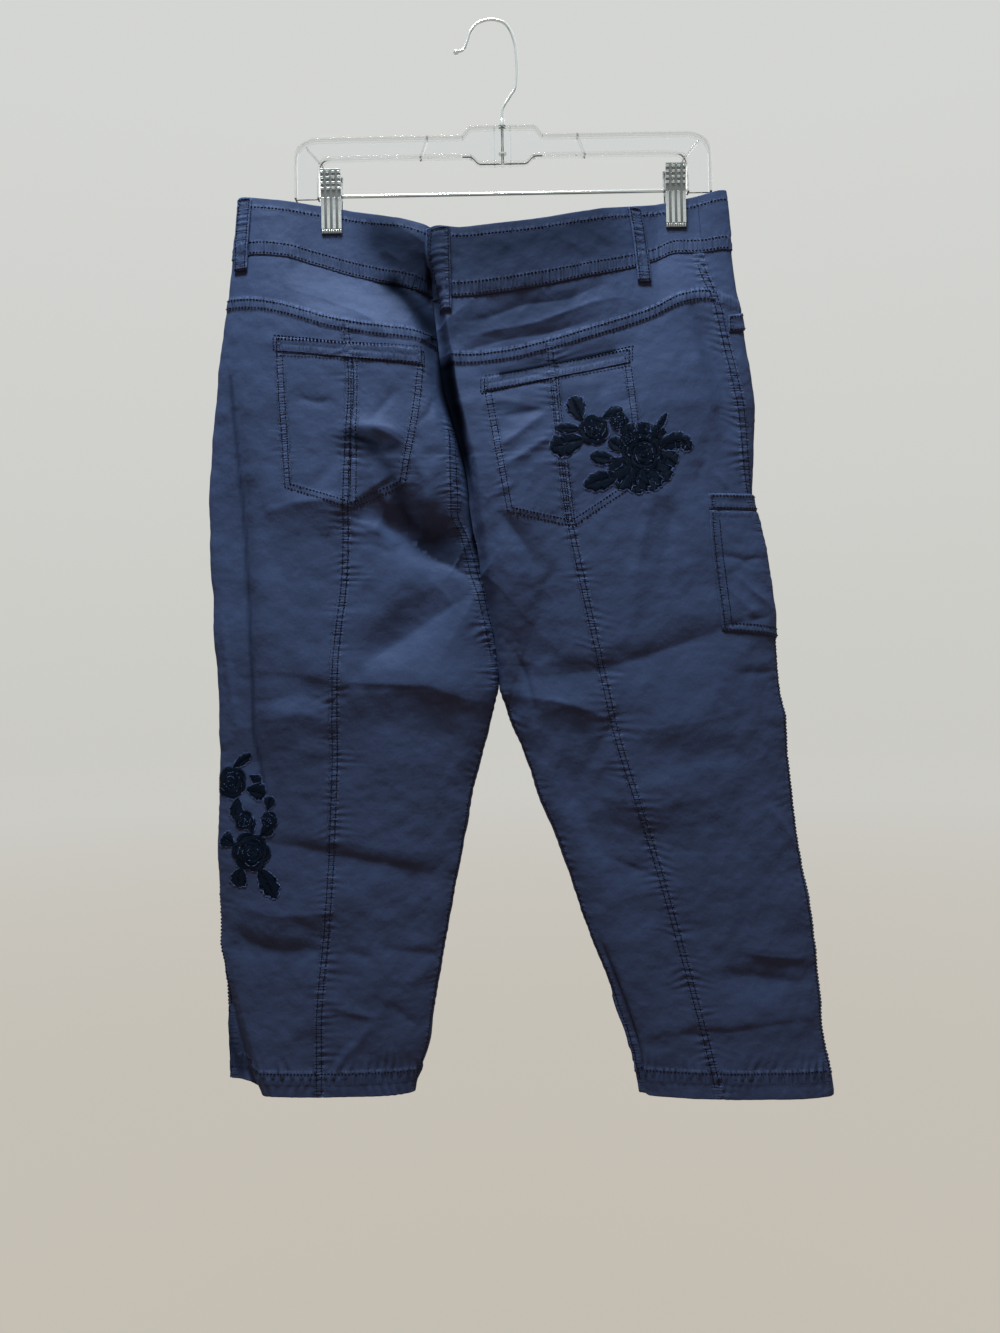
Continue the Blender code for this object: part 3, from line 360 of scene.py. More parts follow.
# Where painted shade darkens the deep folds, by side: strength, reach, and across and up for each point of
# the line
PAINTED_FOLD_SHADES = {
    "left": (
        (0.9, 12, -86, -224, -70, -238, -57, -254, -50, -268), (0.7, 21, -92, -184, -74, -204, -58, -226),
        (0.75, 7, -122, -356, -111, -360, -101, -367), (0.6, 4, -101, -368, -92, -367, -84, -364),
        (0.5, 6, -97, -374, -89, -385, -84, -398, -80, -413, -74, -426, -61, -437),
        (0.55, 11, -63, -442, -48, -445, -32, -452), (0.55, 5, -241, -848, -235, -867, -227, -886),
        (0.5, 2.0, -224, -300, -218, -388, -213, -469, -209, -540, -209, -600, -200, -650),
    ),
    "right": (
        (0.85, 2.8, -51.5, -196, -51.5, -215, -51.5, -262),
        (0.6, 26, -44, -196, -10, -200, 40, -196, 84, -190),
        (0.4, 9, -40, -268, -20, -262, 20, -254, 60, -244),
        (1.0, 2.7, 4, -304.5, 30, -299.2, 60, -293.5, 98, -286.5), (0.35, 8, -6, -334, 40, -327, 80, -318),
    ),
}

# The centre seam's band where it shows on the left half: height and place across
CENTRE_BAND = ((-320, -38), (-354, -34), (-419, -34), (-441, -25), (-480, -15), (-530, -5), (-568, 1))
# The stitched outline of each back pocket, and the seam down its middle
POCKET_LINES = {
    "left": ((-183, -283), (-181, -330), (-177, -396), (-122, -415), (-78, -396), (-66, -340), (-60, -297)),
    "right": ((-10, -320), (-2, -370), (7, -421), (61, -433), (119, -396), (116, -345), (112, -299)),
}
POCKET_MIDDLE = {
    "left": ((-118, -286), (-119, -339), (-121, -412)),
    "right": ((48, -296), (51, -346), (60, -430)),
}
# Each seam: height and width of its raised band, its rows of stitches, and the depth, spacing and reach of
# its puckers
SEAMS = {
    "long": (0.35, 5.6, (0.9, 5.0), 0.5, 6.5, 11.0),
    "side": (0.5, 8.0, (1.3, 6.3), 0.45, 7.0, 11.0),
    "centre": (0.6, 8.0, (1.3, 6.3), 0.6, 5.0, 9.0),
    "inseam": (0.0, 3.0, (1.6,), 0.4, 7.0, 8.0),
    "yoke": (0.8, 9.6, (1.6, 8.2), 0.3, 5.0, 5.0),
    "waist": (0.0, 9.0, (0.0, 9.0), 0.3, 5.0, 5.0),
    "rim": (0.0, 1.0, (0.5,), 0.25, 6.0, 5.0),
    "hem": (0.4, 40.0, (1.5,), 0.9, 7.0, 12.0),
    "pocket": (0.3, 4.8, (0.0, 4.8), 0.35, 6.0, 8.0),
    "pocket_middle": (0.0, 2.4, (-2.4, 2.4), 0.35, 6.0, 8.0),
}


def column(table, at, index=1):
    """A smooth curve through one column of a table that never swings past its rows."""
    keys = np.array([row[0] for row in table], float)
    values = np.array([row[index] for row in table], float)
    if keys[0] > keys[-1]:
        keys, values = keys[::-1], values[::-1]
    steep = np.diff(values) / np.diff(keys)
    turning = steep[:-1] * steep[1:] <= 0
    total = np.where(turning, 1, steep[:-1] + steep[1:])
    between = np.where(turning, 0, 2 * steep[:-1] * steep[1:] / total)
    slopes = np.concatenate([steep[:1], between, steep[-1:]])
    at = np.clip(at, keys[0], keys[-1])
    i = np.clip(np.searchsorted(keys, at) - 1, 0, len(keys) - 2)
    width = keys[i + 1] - keys[i]
    t = (at - keys[i]) / width
    start = (1 + 2 * t) * (1 - t) ** 2 * values[i] + t * (1 - t) ** 2 * width * slopes[i]
    end = t * t * (3 - 2 * t) * values[i + 1] + t * t * (t - 1) * width * slopes[i + 1]
    return start + end


def smooth(value, low, high):
    t = np.clip((value - low) / (high - low), 0, 1)
    return t * t * (3 - 2 * t)


def bell(value):
    return np.exp(-(value**2))


def unit(ways):
    """Ways of length 1."""
    return ways / np.maximum(np.linalg.norm(ways, axis=-1, keepdims=True), 1e-9)


def pairs(numbers):
    """The points of a line from a flat row of numbers."""
    return list(zip(numbers[::2], numbers[1::2]))


def run(points):
    """The way from the first of some points to each one."""
    return np.append(0, np.cumsum(np.linalg.norm(np.diff(points, axis=0), axis=1)))


def inner_edge(side, layer, z):
    legs = column(INSEAMS, z, 1 if side == "left" else 2)
    return np.where(z > CROTCH, column(CENTRE_SEAM[layer], z), legs)


def outer_edge(side, z):
    return column(OUTLINE, z, 1 if side == "left" else 2)


def along_line(x, z, line):
    """The signed distance from a line, left of its way positive, and the share of its length."""
    best = np.full(np.shape(x), np.inf)
    signed = np.zeros(np.shape(x))
    share = np.zeros(np.shape(x))
    lengths = [math.dist(a, b) for a, b in zip(line, line[1:])]
    done = 0.0
    for (ax, az), (bx, bz), length in zip(line, line[1:], lengths):
        ux, uz = (bx - ax) / length, (bz - az) / length
        t = np.clip((x - ax) * ux + (z - az) * uz, 0, length)
        away = np.hypot(x - ax - ux * t, z - az - uz * t)
        turn = np.sign(ux * (z - az) - uz * (x - ax))
        nearer = away < best
        best = np.where(nearer, away, best)
        signed = np.where(nearer, away * turn, signed)
        share = np.where(nearer, (done + t) / sum(lengths), share)
        done += length
    return signed, share


def relief(x, z, layer):
    """How far the folds move a layer outwards. Each fades to its line's ends, a shelf only to its start."""
    out = np.zeros(np.shape(x))
    for shape, depth, width, *line in FOLDS[layer]:
        away, share = along_line(x, z, pairs(line))
        taper = np.sin(np.pi * np.clip(share, 0.02, 0.98)) ** 0.6
        if shape == "shelf":
            dropped = smooth(-away, -width / 2, width / 2) * smooth(away, -1.2 * SHELF_REACH, -SHELF_REACH)
            out += depth * smooth(share, 0, 0.35) * dropped
        elif shape == "ridge":
            out += depth * taper * bell(away / width)
        else:
            out += depth * taper * (away / width) * np.exp(0.5 - (away / width) ** 2)
    return out


def pinch(x, z):
    """How firmly the clips hold the two layers together at a place, from 0 to 1."""
    held = np.zeros(np.shape(x))
    for place in CLIP_PLACES:
        near = PINCH_STRENGTH * bell((x - place) / CLIP_PINCH_REACH)
        held = np.maximum(held, np.clip(near, 0, 1) * smooth(z, PINCH_FADE, PINCH_FULL))
    return held


def edge_fade(angle, z):
    """How much of the folds and creases shows at a place: they fade out towards the tube's edges."""
    turn = np.radians(angle)
    fade = np.clip(FADE_RATE * np.abs(np.cos(turn)) ** FADE_POWER, 0, 1)
    above = smooth(z, CROTCH - FADE_BELOW_CROTCH, CROTCH + FADE_ABOVE_CROTCH)
    return np.where(np.sin(turn) < 0, np.maximum(fade, above), fade)


def surface(side, angle, z):
    """The garment's outer surface: points for arrays of angles in degrees and heights."""
    angle, z = np.broadcast_arrays(np.asarray(angle, float), np.asarray(z, float))
    turn = np.radians(angle)
    back = angle < 90
    edge = outer_edge(side, z)
    inner = np.where(back, inner_edge(side, "back", z), inner_edge(side, "front", z))
    x = (edge + inner) / 2 + (edge - inner) / 2 * np.sin(turn)
    left, right = outer_edge("left", z), outer_edge("right", z)
    across = (2 * x - left - right) / (right - left)
    depth = np.where(back, column(OUTLINE, z, 3), column(OUTLINE, z, 4))
    whole = np.sqrt(np.clip(1 - across**2, 0, 1))
    round_leg = np.clip(np.abs(np.cos(turn)), 0, 1) ** EDGE_POWER
    split = smooth(-z, -SPLIT_START, -CROTCH)
    out = depth * ((1 - split) * whole + split * round_leg)
    inward = ((1 - np.sin(turn)) / 2) ** 8
    out = out + CROTCH_ROOM * inward * split * smooth(z, CROTCH - CROTCH_BLEND, CROTCH)
    out = out + edge_fade(angle, z) * np.where(back, relief(x, z, "back"), relief(x, z, "front"))
    first = 1 if side == "left" else 3
    fold = np.where(back & (z > CROTCH), column(CENTRE_FOLD, z, first), 0)
    out = out - fold * bell((x - inner) / column(CENTRE_FOLD, z, first + 1))
    held = pinch(x, z)
    out = out * (1 - held) + PINCHED_HALF * held
    return np.stack([x, np.where(back, -out, out), z], axis=-1)


def normal(side, angle, z):
    """The outward direction of the surface."""
    step = 1.5
    low, high = np.clip(angle - step, -90, 270), np.clip(angle + step, -90, 270)
    round_way = surface(side, high, z) - surface(side, low, z)
    up_way = surface(side, angle, z + step) - surface(side, angle, z - step)
    out = np.cross(round_way, up_way) * OUT[side]
    return unit(out)


def angle_at(side, layer, x, z):
    """The angle of a place across on one layer."""
    edge, inner = outer_edge(side, z), inner_edge(side, layer, z)
    share = np.clip((2 * x - edge - inner) / (edge - inner), -1, 1)
    found = np.degrees(np.arcsin(share))
    return found if layer == "back" else 180 - found


def side_seam_angle(side, z):
    inset, edge = column(SIDE_SEAM[side], z), outer_edge(side, z)
    on_back = angle_at(side, "back", edge - OUT[side] * np.maximum(inset, 0), z)
    on_front = angle_at(side, "front", edge + OUT[side] * np.minimum(inset, 0), z)
    return np.where(inset > 0, on_back, on_front)


def back_seam_angle(side, z):
    return angle_at(side, "back", column(BACK_SEAM[side], z), z)


def level(side, angle, x, row):
    """The height of a row line at a place: 0 waist, 1 waistband seam, 2 yoke, 3 crotch, 4 hem, 5 bottom."""
    if row == 3:
        return np.full(np.shape(x), CROTCH)
    if row > 3:
        return column(HEM_LINES, x, row - 3)
    back, front = (column(lines[side], x, row + 1) for lines in (BACK_LINES, FRONT_LINES))
    return np.where(angle < 90, back, front)


def across_at(side, angle, z):
    """The place across of an angle on the garment."""
    edge = outer_edge(side, z)
    inner = np.where(angle < 90, inner_edge(side, "back", z), inner_edge(side, "front", z))
    return (edge + inner) / 2 + (edge - inner) / 2 * np.sin(np.radians(angle))


def grid(side, across, down):
    """Angles and heights where fine columns and rows of the garment cross, numbered as the part's are."""
    across, down = np.meshgrid(across, down, indexing="ij")
    z = np.interp(down, range(6), FIRST_LEVELS)
    inner, outer = np.full(z.shape, -90.0), np.full(z.shape, 270.0)
    first, upper = np.clip(across.astype(int), 0, 2), np.clip(down.astype(int), 0, 4)
    for _ in range(GRID_ROUNDS):
        marks = [inner, back_seam_angle(side, z), side_seam_angle(side, z), outer]
        start, end = np.choose(first, marks[:3]), np.choose(first, marks[1:])
        angle = start + (end - start) * (across - first)
        x = across_at(side, angle, z)
        levels = [level(side, angle, x, row) for row in range(6)]
        top, bottom = np.choose(upper, levels[:5]), np.choose(upper, levels[1:])
        z = 0.5 * z + 0.5 * (top + (bottom - top) * (down - upper))
    return angle, z


def fine(borders, widths, pitch, rims=(0.35, 0.9)):
    """Steps through the borders about a pitch apart, with closer ones beside the first and the last."""
    steps = []
    for start, end, width in zip(borders, borders[1:], widths):
        steps.append(np.linspace(start, end, max(2, round(width / pitch)), endpoint=False))
    steps = np.append(np.concatenate(steps), borders[-1])
    first = [borders[0] + rim / widths[0] for rim in rims]
    last = [borders[-1] - rim / widths[-1] for rim in rims]
    return np.unique(np.concatenate([steps, first, last]))


def wander(at, step, seed):
    """Smooth random heights from -1 to 1 along a line."""
    heights = np.random.default_rng(seed).uniform(-1, 1, 4096)
    place = np.asarray(at) / step + 2048
    low = np.floor(place).astype(int) % 4095
    t = smooth(place - np.floor(place), 0, 1)
    return heights[low] * (1 - t) + heights[low + 1] * t


def crinkle(x, z, step, seed):
    """Smooth random heights from -1 to 1 over the cloth."""
    heights = np.random.default_rng(seed).uniform(-1, 1, (256, 256))
    u, v = x / step + 128, z / step + 250
    i, j = np.floor(u).astype(int) % 255, np.floor(v).astype(int) % 255
    s, t = smooth(u - np.floor(u), 0, 1), smooth(v - np.floor(v), 0, 1)
    low = heights[i, j] * (1 - s) + heights[i + 1, j] * s
    high = heights[i, j + 1] * (1 - s) + heights[i + 1, j + 1] * s
    return low * (1 - t) + high * t


def creased(x, z, layer):
    """How far the fine creases move a layer outwards."""
    out = np.zeros(x.shape)
    for height, left, right, sharp, *line in CREASES[layer]:
        line = pairs(line)
        corners, room = np.array(line), 3 * max(left, right)
        low, high = corners.min(axis=0) - room, corners.max(axis=0) + room
        near = (x > low[0]) & (x < high[0]) & (z > low[1]) & (z < high[1])
        if not near.any():
            continue
        away, share = along_line(x[near], z[near], line)
        apart = np.abs(away) / np.where(away > 0, left, right)
        if sharp:
            profile = np.exp(-(apart**sharp))
        else:
            profile = np.clip(1.05 - np.sqrt(apart**2 + 0.0025), 0, 1)
        taper = np.sin(np.pi * np.clip(share, 0, 1)) ** 0.7
        out[near] += height * taper * profile
    return out


def band(away, width, edge=0.7):
    """A raised band from a seam to its width, with steep edges."""
    return smooth(away, -edge, edge) * (1 - smooth(away, width - edge, width + edge))


def side_away(side, angle, x, z):
    """The distance from the side seam, on the back positive."""
    deep = column(OUTLINE, z, 3)

    def depth(at):
        cosine = np.cos(np.radians(at))
        return deep * np.sign(cosine) * np.abs(cosine) ** EDGE_POWER

    seam_angle = side_seam_angle(side, z)
    away = np.hypot(x - across_at(side, seam_angle, z), depth(angle) - depth(seam_angle))
    return np.where(angle < seam_angle, away, -away)


def seam_places(side, angle, x, z):
    """Each seam near a place: its name, the distance from it, the way along it and where it holds.

    The distance is positive on the side that its raised band lies on.
    """
    back = angle < 90
    rim, waist, yoke = (level(side, angle, x, row) for row in range(3))
    below_yoke = smooth(yoke - z, -1, 1)
    below_waist = smooth(waist - z, -1, 1)
    inseam = np.abs(x - inner_edge(side, "back", z))
    low = smooth(-z, 380, 450)
    centre = back * (side == "left") * smooth(-z, 330, 350) * (z > CROTCH)
    places = [
        ("long", column(BACK_SEAM[side], z) - x, z, back * below_yoke),
        ("side", side_away(side, angle, x, z), z, below_waist * (1 - 0.6 * low)),
        ("centre", column(CENTRE_BAND, z) - x, z, centre),
        ("inseam", inseam, z, 0.6 * (z < CROTCH)),
        ("yoke", yoke - z, x, back * below_waist),
        ("waist", z - waist - 2.0, x, 1.0 * (z > waist - 1)),
        ("rim", rim - 7.5 - z, x, 1.0 * (z > waist - 1)),
        ("hem", level(side, angle, x, 4) - z, x, 1.0),
    ]
    for name, lines in (("pocket", POCKET_LINES), ("pocket_middle", POCKET_MIDDLE)):
        line = lines[side]
        away = np.full(x.shape, 99.0)
        share = np.zeros(x.shape)
        near = back & (z > -460) & (z < -262) & (np.abs(x - line[0][0] - 50 * (name == "pocket")) < 90)
        if near.any():
            away[near], share[near] = along_line(x[near], z[near], line)
        ends = smooth(share, 0, 0.01) * (1 - smooth(share, 0.99, 1))
        places.append((name, away, 420 * share, near * ends))
    return places


def puckers(along, away, width, depth, spacing, reach, seed):
    """Soft ripples across a seam, uneven in spacing and length, and other ones on each side of it."""
    middle = np.abs(away - width / 2) - width / 2
    apart = np.clip(middle, 0, None)
    out = np.zeros(np.shape(along))
    for number, beside in enumerate((away > width / 2, away <= width / 2)):
        chance = seed + 50 * number
        slant = 0.5 * wander(along, 5 * spacing, chance)
        phase = 2 * np.pi * (along + slant * apart) / spacing + 3.5 * wander(along, 3.1 * spacing, chance + 1)
        strength = np.clip(0.5 + 0.75 * wander(along, 1.7 * spacing, chance + 2), 0.05, 1.3)
        length = reach * np.clip(0.75 + 0.7 * wander(along, 1.3 * spacing, chance + 3), 0.2, 1.5)
        out += beside * strength * np.sin(phase) * np.exp(-((apart / length) ** 1.6))
    return depth * out


def detail(side, angle, x, z):
    """How far creases, seams and crinkles move the cloth outwards, and four marks on it.

    The marks are the way along a seam in metres, how strongly it gathers the cloth, which also sets painted
    shade between its puckers, its wear, and how much painted shade darkens a deep fold.
    """
    sizes = bpy.context.scene.capri_sizes
    back = angle < 90
    held = 1 - pinch(x, z)
    creases = np.where(back, creased(x, z, "back"), creased(x, z, "front"))
    out = edge_fade(angle, z) * creases * held * sizes.crease_depth
    out += held * sum(height * crinkle(x, z, step, seed) for height, step, seed in CRINKLES)
    way, gathers, worn = np.zeros((3, *x.shape))
    for number, (name, away, along, holds) in enumerate(seam_places(side, angle, x, z)):
        height, width, rows, depth, spacing, reach = SEAMS[name]
        narrow = min(width, 10)
        seed = 200 * number + 100 * (side == "left")
        raised = height * band(away, width)
        dents = sum(bell(away - at) for at in rows)
        pulled = puckers(along, away, narrow, depth * sizes.pucker_depth, spacing, reach, seed)
        out += holds * (raised - 0.2 * dents + pulled)
        edges = bell(away / WEAR_REACH) + 0.6 * bell((away - width) / WEAR_REACH)
        worn = np.maximum(worn, holds * np.clip(edges, 0, 1))
        if name == "pocket":
            holds = holds * (1 - 0.75 * smooth(-z, 385, 400))
        # How strongly the seam gathers the cloth: the look turns this into a bump and into painted shade
        # between the puckers.
        gathered = holds * smooth(away, -2.4, 0.2) * (1 - smooth(away, narrow - 0.2, narrow + 2.4))
        way = np.where(gathered > gathers, along * MM, way)
        gathers = np.maximum(gathers, gathered)
    # The fourth mark is the painted shade of the deep folds.
    return out, np.stack([way, gathers, worn, painted_fold_shade(side, back, x, z)], axis=-1)


def painted_fold_shade(side, back, x, z):
    """How much painted shade darkens the cloth where it dives in at the centre back and in the deep folds."""
    away = np.abs(x - inner_edge(side, "back", z))
    if side == "left":
        reach, holds = 3 + 3.5 * smooth(-z, 270, 330), smooth(z, -540, -430)
    else:
        reach = 7.5 - 5 * smooth(-z, 320, 385)
        holds = smooth(-z, 276, 298) * smooth(z, -430, -372)
    out = back * holds * np.exp(-((away / reach) ** 4))
    for strength, reach, *line in PAINTED_FOLD_SHADES[side]:
        apart = along_line(x, z, pairs(line))[0] / reach
        out = np.maximum(out, back * strength * bell(apart))
    return out


def outward(points, side):
    """The outward directions of a grid of points."""
    out = np.cross(np.gradient(points, axis=0), np.gradient(points, axis=1))
    return -OUT[side] * unit(out)


def rounded_rim(points, outwards, radius):
    """The outer grid's borders bent down, so that a cut edge looks turned."""
    bent = points.copy()
    for axis in (0, 1):
        way = np.moveaxis(bent, axis, 0)
        away_from = np.moveaxis(points, axis, 0)
        direction = np.moveaxis(outwards, axis, 0)
        for ends in (range(4), range(-1, -5, -1)):
            first = away_from[ends[0]]
            for row in ends:
                away = np.linalg.norm(away_from[row] - first, axis=-1)
                short = np.clip(1 - away / radius, 0, 1)
                drop = radius * (1 - np.sqrt(np.clip(1 - short**2, 0, 1)))
                way[row] -= drop[..., None] * direction[row]
    return bent


def mark(mesh, name, values, domain="POINT"):
    """Stores a value, or a vector of three, for each point or face of a mesh."""
    kind, key = ("FLOAT_VECTOR", "vector") if values.ndim == 2 else ("FLOAT", "value")
    mesh.attributes.new(name, kind, domain).data.foreach_set(key, values.astype(np.float32).ravel())


def into_scene(name, data):
    """A new object in the scene, at the origin."""
    made = bpy.data.objects.new(name, data)
    bpy.context.scene.collection.objects.link(made)
    return made


def baked(piece, modifier):
    """What a modifier makes of a piece, as the piece's own plain mesh."""
    bpy.context.view_layer.update()
    made = bpy.data.meshes.new_from_object(piece.evaluated_get(bpy.context.evaluated_depsgraph_get()))
    piece.modifiers.remove(modifier)
    piece.data = made
    return made


# One in so many rows and columns is kept on a piece's inner side. Wear reaches this far from an edge.
COARSE = 4
WEAR_REACH = 1.3


def shell(name, outer, inner, marked):
    """A closed piece: a fine outer grid, a coarse inner one and a rim between them, in metres."""
    columns, rows = outer.shape[:2]
    keep_i = np.unique(np.append(np.arange(0, columns, COARSE), columns - 1))
    keep_j = np.unique(np.append(np.arange(0, rows, COARSE), rows - 1))
    few = inner[np.ix_(keep_i, keep_j)]
    points = np.concatenate([outer.reshape(-1, 3), few.reshape(-1, 3)]) * MM
    number = np.arange(columns * rows).reshape(columns, rows)
    below = columns * rows + np.arange(few.shape[0] * few.shape[1]).reshape(few.shape[:2])
    over = [number[:-1, :-1], number[1:, :-1], number[1:, 1:], number[:-1, 1:]]
    under = [below[:-1, :-1], below[:-1, 1:], below[1:, 1:], below[1:, :-1]]
    faces = [np.stack(side, axis=-1).reshape(-1, 4) for side in (over, under)]
    faces = np.concatenate(faces).tolist()

    def rim(upper, lower, keep, turned):
        for k in range(len(keep) - 1):
            ring = list(upper[keep[k] : keep[k + 1] + 1]) + [lower[k + 1], lower[k]]
            faces.append([int(v) for v in (ring[::-1] if turned else ring)])

    rim(number[:, 0], below[:, 0], keep_i, True)
    rim(number[:, -1], below[:, -1], keep_i, False)
    rim(number[0, :], below[0, :], keep_j, False)
    rim(number[-1, :], below[-1, :], keep_j, True)
    middle = (columns // 2, rows // 2)
    along = outer[middle] - outer[middle[0] - 1, middle[1]]
    down = outer[middle] - outer[middle[0], middle[1] - 1]
    if np.dot(np.cross(along, down), outer[middle] - inner[middle]) < 0:
        faces = [face[::-1] for face in faces]
    mesh = bpy.data.meshes.new(name)
    mesh.from_pydata(points.tolist(), [], faces)
    mesh.shade_smooth()
    across = np.zeros((columns, rows))
    across[1:] = np.cumsum(np.linalg.norm(np.diff(outer, axis=0), axis=-1), axis=0)
    down = np.zeros((columns, rows))
    down[:, 1:] = np.cumsum(np.linalg.norm(np.diff(outer, axis=1), axis=-1), axis=1)
    flat = np.stack([across, down], axis=-1) * MM
    flat = np.concatenate([flat.reshape(-1, 2), flat[np.ix_(keep_i, keep_j)].reshape(-1, 2)])
    corner = np.zeros(len(mesh.loops), np.int32)
    mesh.loops.foreach_get("vertex_index", corner)
    mesh.uv_layers.new(name="cloth").data.foreach_set("uv", flat[corner].astype(np.float32).ravel())
    marks = np.zeros((len(points), 4), np.float32)
    marks[: columns * rows] = marked.reshape(-1, 4)
    mark(mesh, "seams", marks[:, :3])
    # The fourth mark is painted shade for the deep folds.
    mark(mesh, "painted_fold_shade", marks[:, 3])
    made = into_scene(name, mesh)
    made["cut"] = (float(across[-1].max()) * MM, float(down[:, -1].max()) * MM)
    return made


# How far the right half laps over the left at the centre back
CENTRE_OVERLAP = 3.2


def cloth_piece(name, side, across, down, thickness, lift=0.0, spread=0.3):
    """A panel of the garment on the part's surface, a little over its seams."""
    angle, z = grid(side, across, down)
    base = surface(side, angle, z)
    outwards = outward(base, side)
    height, marks = detail(side, angle, base[..., 0], z)
    outer = base + (height + lift)[..., None] * outwards
    if side == "right" and across[0] == 0:
        away = base[..., 0] - base[0, :, 0]
        outer[..., 0] -= CENTRE_OVERLAP * np.exp(-away / 4) * smooth(z, CROTCH, CROTCH + 60)
    for axis in (0, 1):
        rows = np.moveaxis(outer, axis, 0)
        for end, neighbour in ((0, 2), (-1, -3)):
            way = rows[end] - rows[neighbour]
            rows[end] += spread * unit(way)
    outwards = outward(outer, side)
    inner = outer - thickness * outwards
    own_layer = -1 if across[-1] <= 2 else 1
    layer = np.where(np.abs(angle - 90) < 0.01, own_layer, np.sign(angle - 90))
    from_seam = 90 - np.abs(np.abs(angle - 90) - 90)
    least = 0.02 + 0.5 * smooth(from_seam, 0, 3)
    inner[..., 1] = layer * np.maximum(layer * inner[..., 1], 0.02)
    outer[..., 1] = layer * np.maximum(layer * outer[..., 1], least)
    outer = rounded_rim(outer, outwards, min(0.8, thickness / 2))
    return shell(name, outer, inner, marks)


def overlay(name, side, angle, z, thickness, lift):
    """A piece that lies on the garment, from the angles and heights of its fine grid."""
    base = surface(side, angle, z)
    outwards = outward(base, side)
    if np.dot(outwards[1, 1], normal(side, angle[1, 1], z[1, 1])) < 0:
        outwards = -outwards
    height, marks = detail(side, angle, base[..., 0], z)
    inner = base + (height + np.asarray(lift))[..., None] * outwards
    outer = inner + thickness * outwards
    for axis in (0, 1):
        steps = np.linalg.norm(np.diff(outer, axis=axis), axis=-1)
        reach = np.cumsum(np.insert(steps, 0, 0, axis=axis), axis=axis)
        rim = np.minimum(reach, np.take(reach, [-1], axis=axis) - reach)
        marks[..., 2] = np.maximum(marks[..., 2], bell(rim / WEAR_REACH))
        # A ladder of puckers beside each rim, which the cloth's look also darkens with painted shade.
        ladder = smooth(rim, 0.6, 1.6) * (1 - smooth(rim, 3.6, 6.5))
        stronger = ladder > marks[..., 1]
        marks[..., 0] = np.where(stronger, np.take(base, 2 - 2 * axis, axis=-1) * MM, marks[..., 0])
        marks[..., 1] = np.maximum(marks[..., 1], ladder)
    outer = rounded_rim(outer, outwards, min(0.8, thickness / 2))
    return shell(name, outer, inner, marks)


def patch_grid(side, layer, corners, columns, rows):
    """Angles and heights of a four-cornered patch: top left, top right, bottom right, bottom left."""
    wide = np.linalg.norm(np.subtract(corners[1], corners[0]))
    tall = np.linalg.norm(np.subtract(corners[3], corners[0]))
    us = fine((0, 1), (wide,), wide / columns)
    vs = fine((0, 1), (tall,), tall / rows)
    u, v = np.meshgrid(us, vs, indexing="ij")
    a, b, c, d = (np.array(corner, float) for corner in corners)
    spot = (1 - v)[..., None] * ((1 - u)[..., None] * a + u[..., None] * b)
    spot = spot + v[..., None] * ((1 - u)[..., None] * d + u[..., None] * c)
    return angle_at(side, layer, spot[..., 0], spot[..., 1]), spot[..., 1]


def fold_round(name, columns, rows):
    """A grid for a piece that starts on the right half's back layer and ends on its front layer."""
    top, bottom = SIDE_PIECES[name][:2]
    u, v = np.meshgrid(np.linspace(0, 1, columns + 1), np.linspace(0, 1, rows + 1), indexing="ij")
    z = (1 - v) * (top[0] + (top[1] - top[0]) * u) + v * (bottom[0] + (bottom[1] - bottom[0]) * u)
    back_x, front_x = (np.full(z.shape, end) for end in HIP_BAND_ENDS)
    if name.startswith("cargo"):
        back_x, front_x = column(CARGO_BACK, z), outer_edge("right", z) - CARGO_FRONT_REACH
    start, end = angle_at("right", "back", back_x, z), angle_at("right", "front", front_x, z)
    return start + (end - start) * u, z


def on_cloth(side, angle, z, lift):
    """Points on the dressed cloth and the directions out of it."""
    base = surface(side, angle, z)
    outwards = normal(side, angle, z)
    height, _ = detail(side, angle, base[..., 0], z)
    return base + (height + lift)[..., None] * outwards, outwards


THREAD_THICKNESS = 0.95


def threads_along(side, line, lift, pitch=None, length=None):
    """One row of stitches along a line on the cloth: places, ways, outward directions and sizes.

    The pitch and the length are those of the sidebar, unless they are given.
    """
    sizes = bpy.context.scene.capri_sizes
    pitch = pitch or round(sizes.stitch_pitch / MM, 4)
    length = length or round(sizes.stitch_length / MM, 4)
    angle, z = line
    spots, outwards = on_cloth(side, angle, z, np.broadcast_to(np.asarray(lift, float), np.shape(z)))
    reach = run(spots)
    at = np.arange(pitch / 2, reach[-1], pitch)

    def spread(values, places):
        return np.stack([np.interp(places, reach, values[:, k]) for k in range(3)], axis=1)

    ways = spread(spots, at + 0.4 * pitch) - spread(spots, at - 0.4 * pitch)
    size = np.tile((length / 2, THREAD_THICKNESS / 2, THREAD_THICKNESS / 2), (len(at), 1))
    return spread(spots, at), ways, spread(outwards, at), size


def row_line(side, layer, xs, row, below):
    """A row of stitches at a distance below one of the garment's row lines, or above it if negative."""
    xs = np.asarray(xs, float)
    z = level(side, np.where(layer == "back", 0.0, 180.0) + 0 * xs, xs, row) - below
    return angle_at(side, layer, xs, z), z


def poly_line(side, layer, points, step=1.2):
    """A line of stitches through points across and up."""
    points = np.array(points, float)
    reach = run(points)
    at = np.append(np.arange(0, reach[-1], step), reach[-1])
    x, z = (np.interp(at, reach, points[:, k]) for k in range(2))
    return angle_at(side, layer, x, z), z


def beside(points, away):
    """A line of points moved to the left of its way."""
    points = np.array(points, float)
    way = unit(np.gradient(points, axis=0))
    return points + away * np.stack([-way[:, 1], way[:, 0]], axis=1)


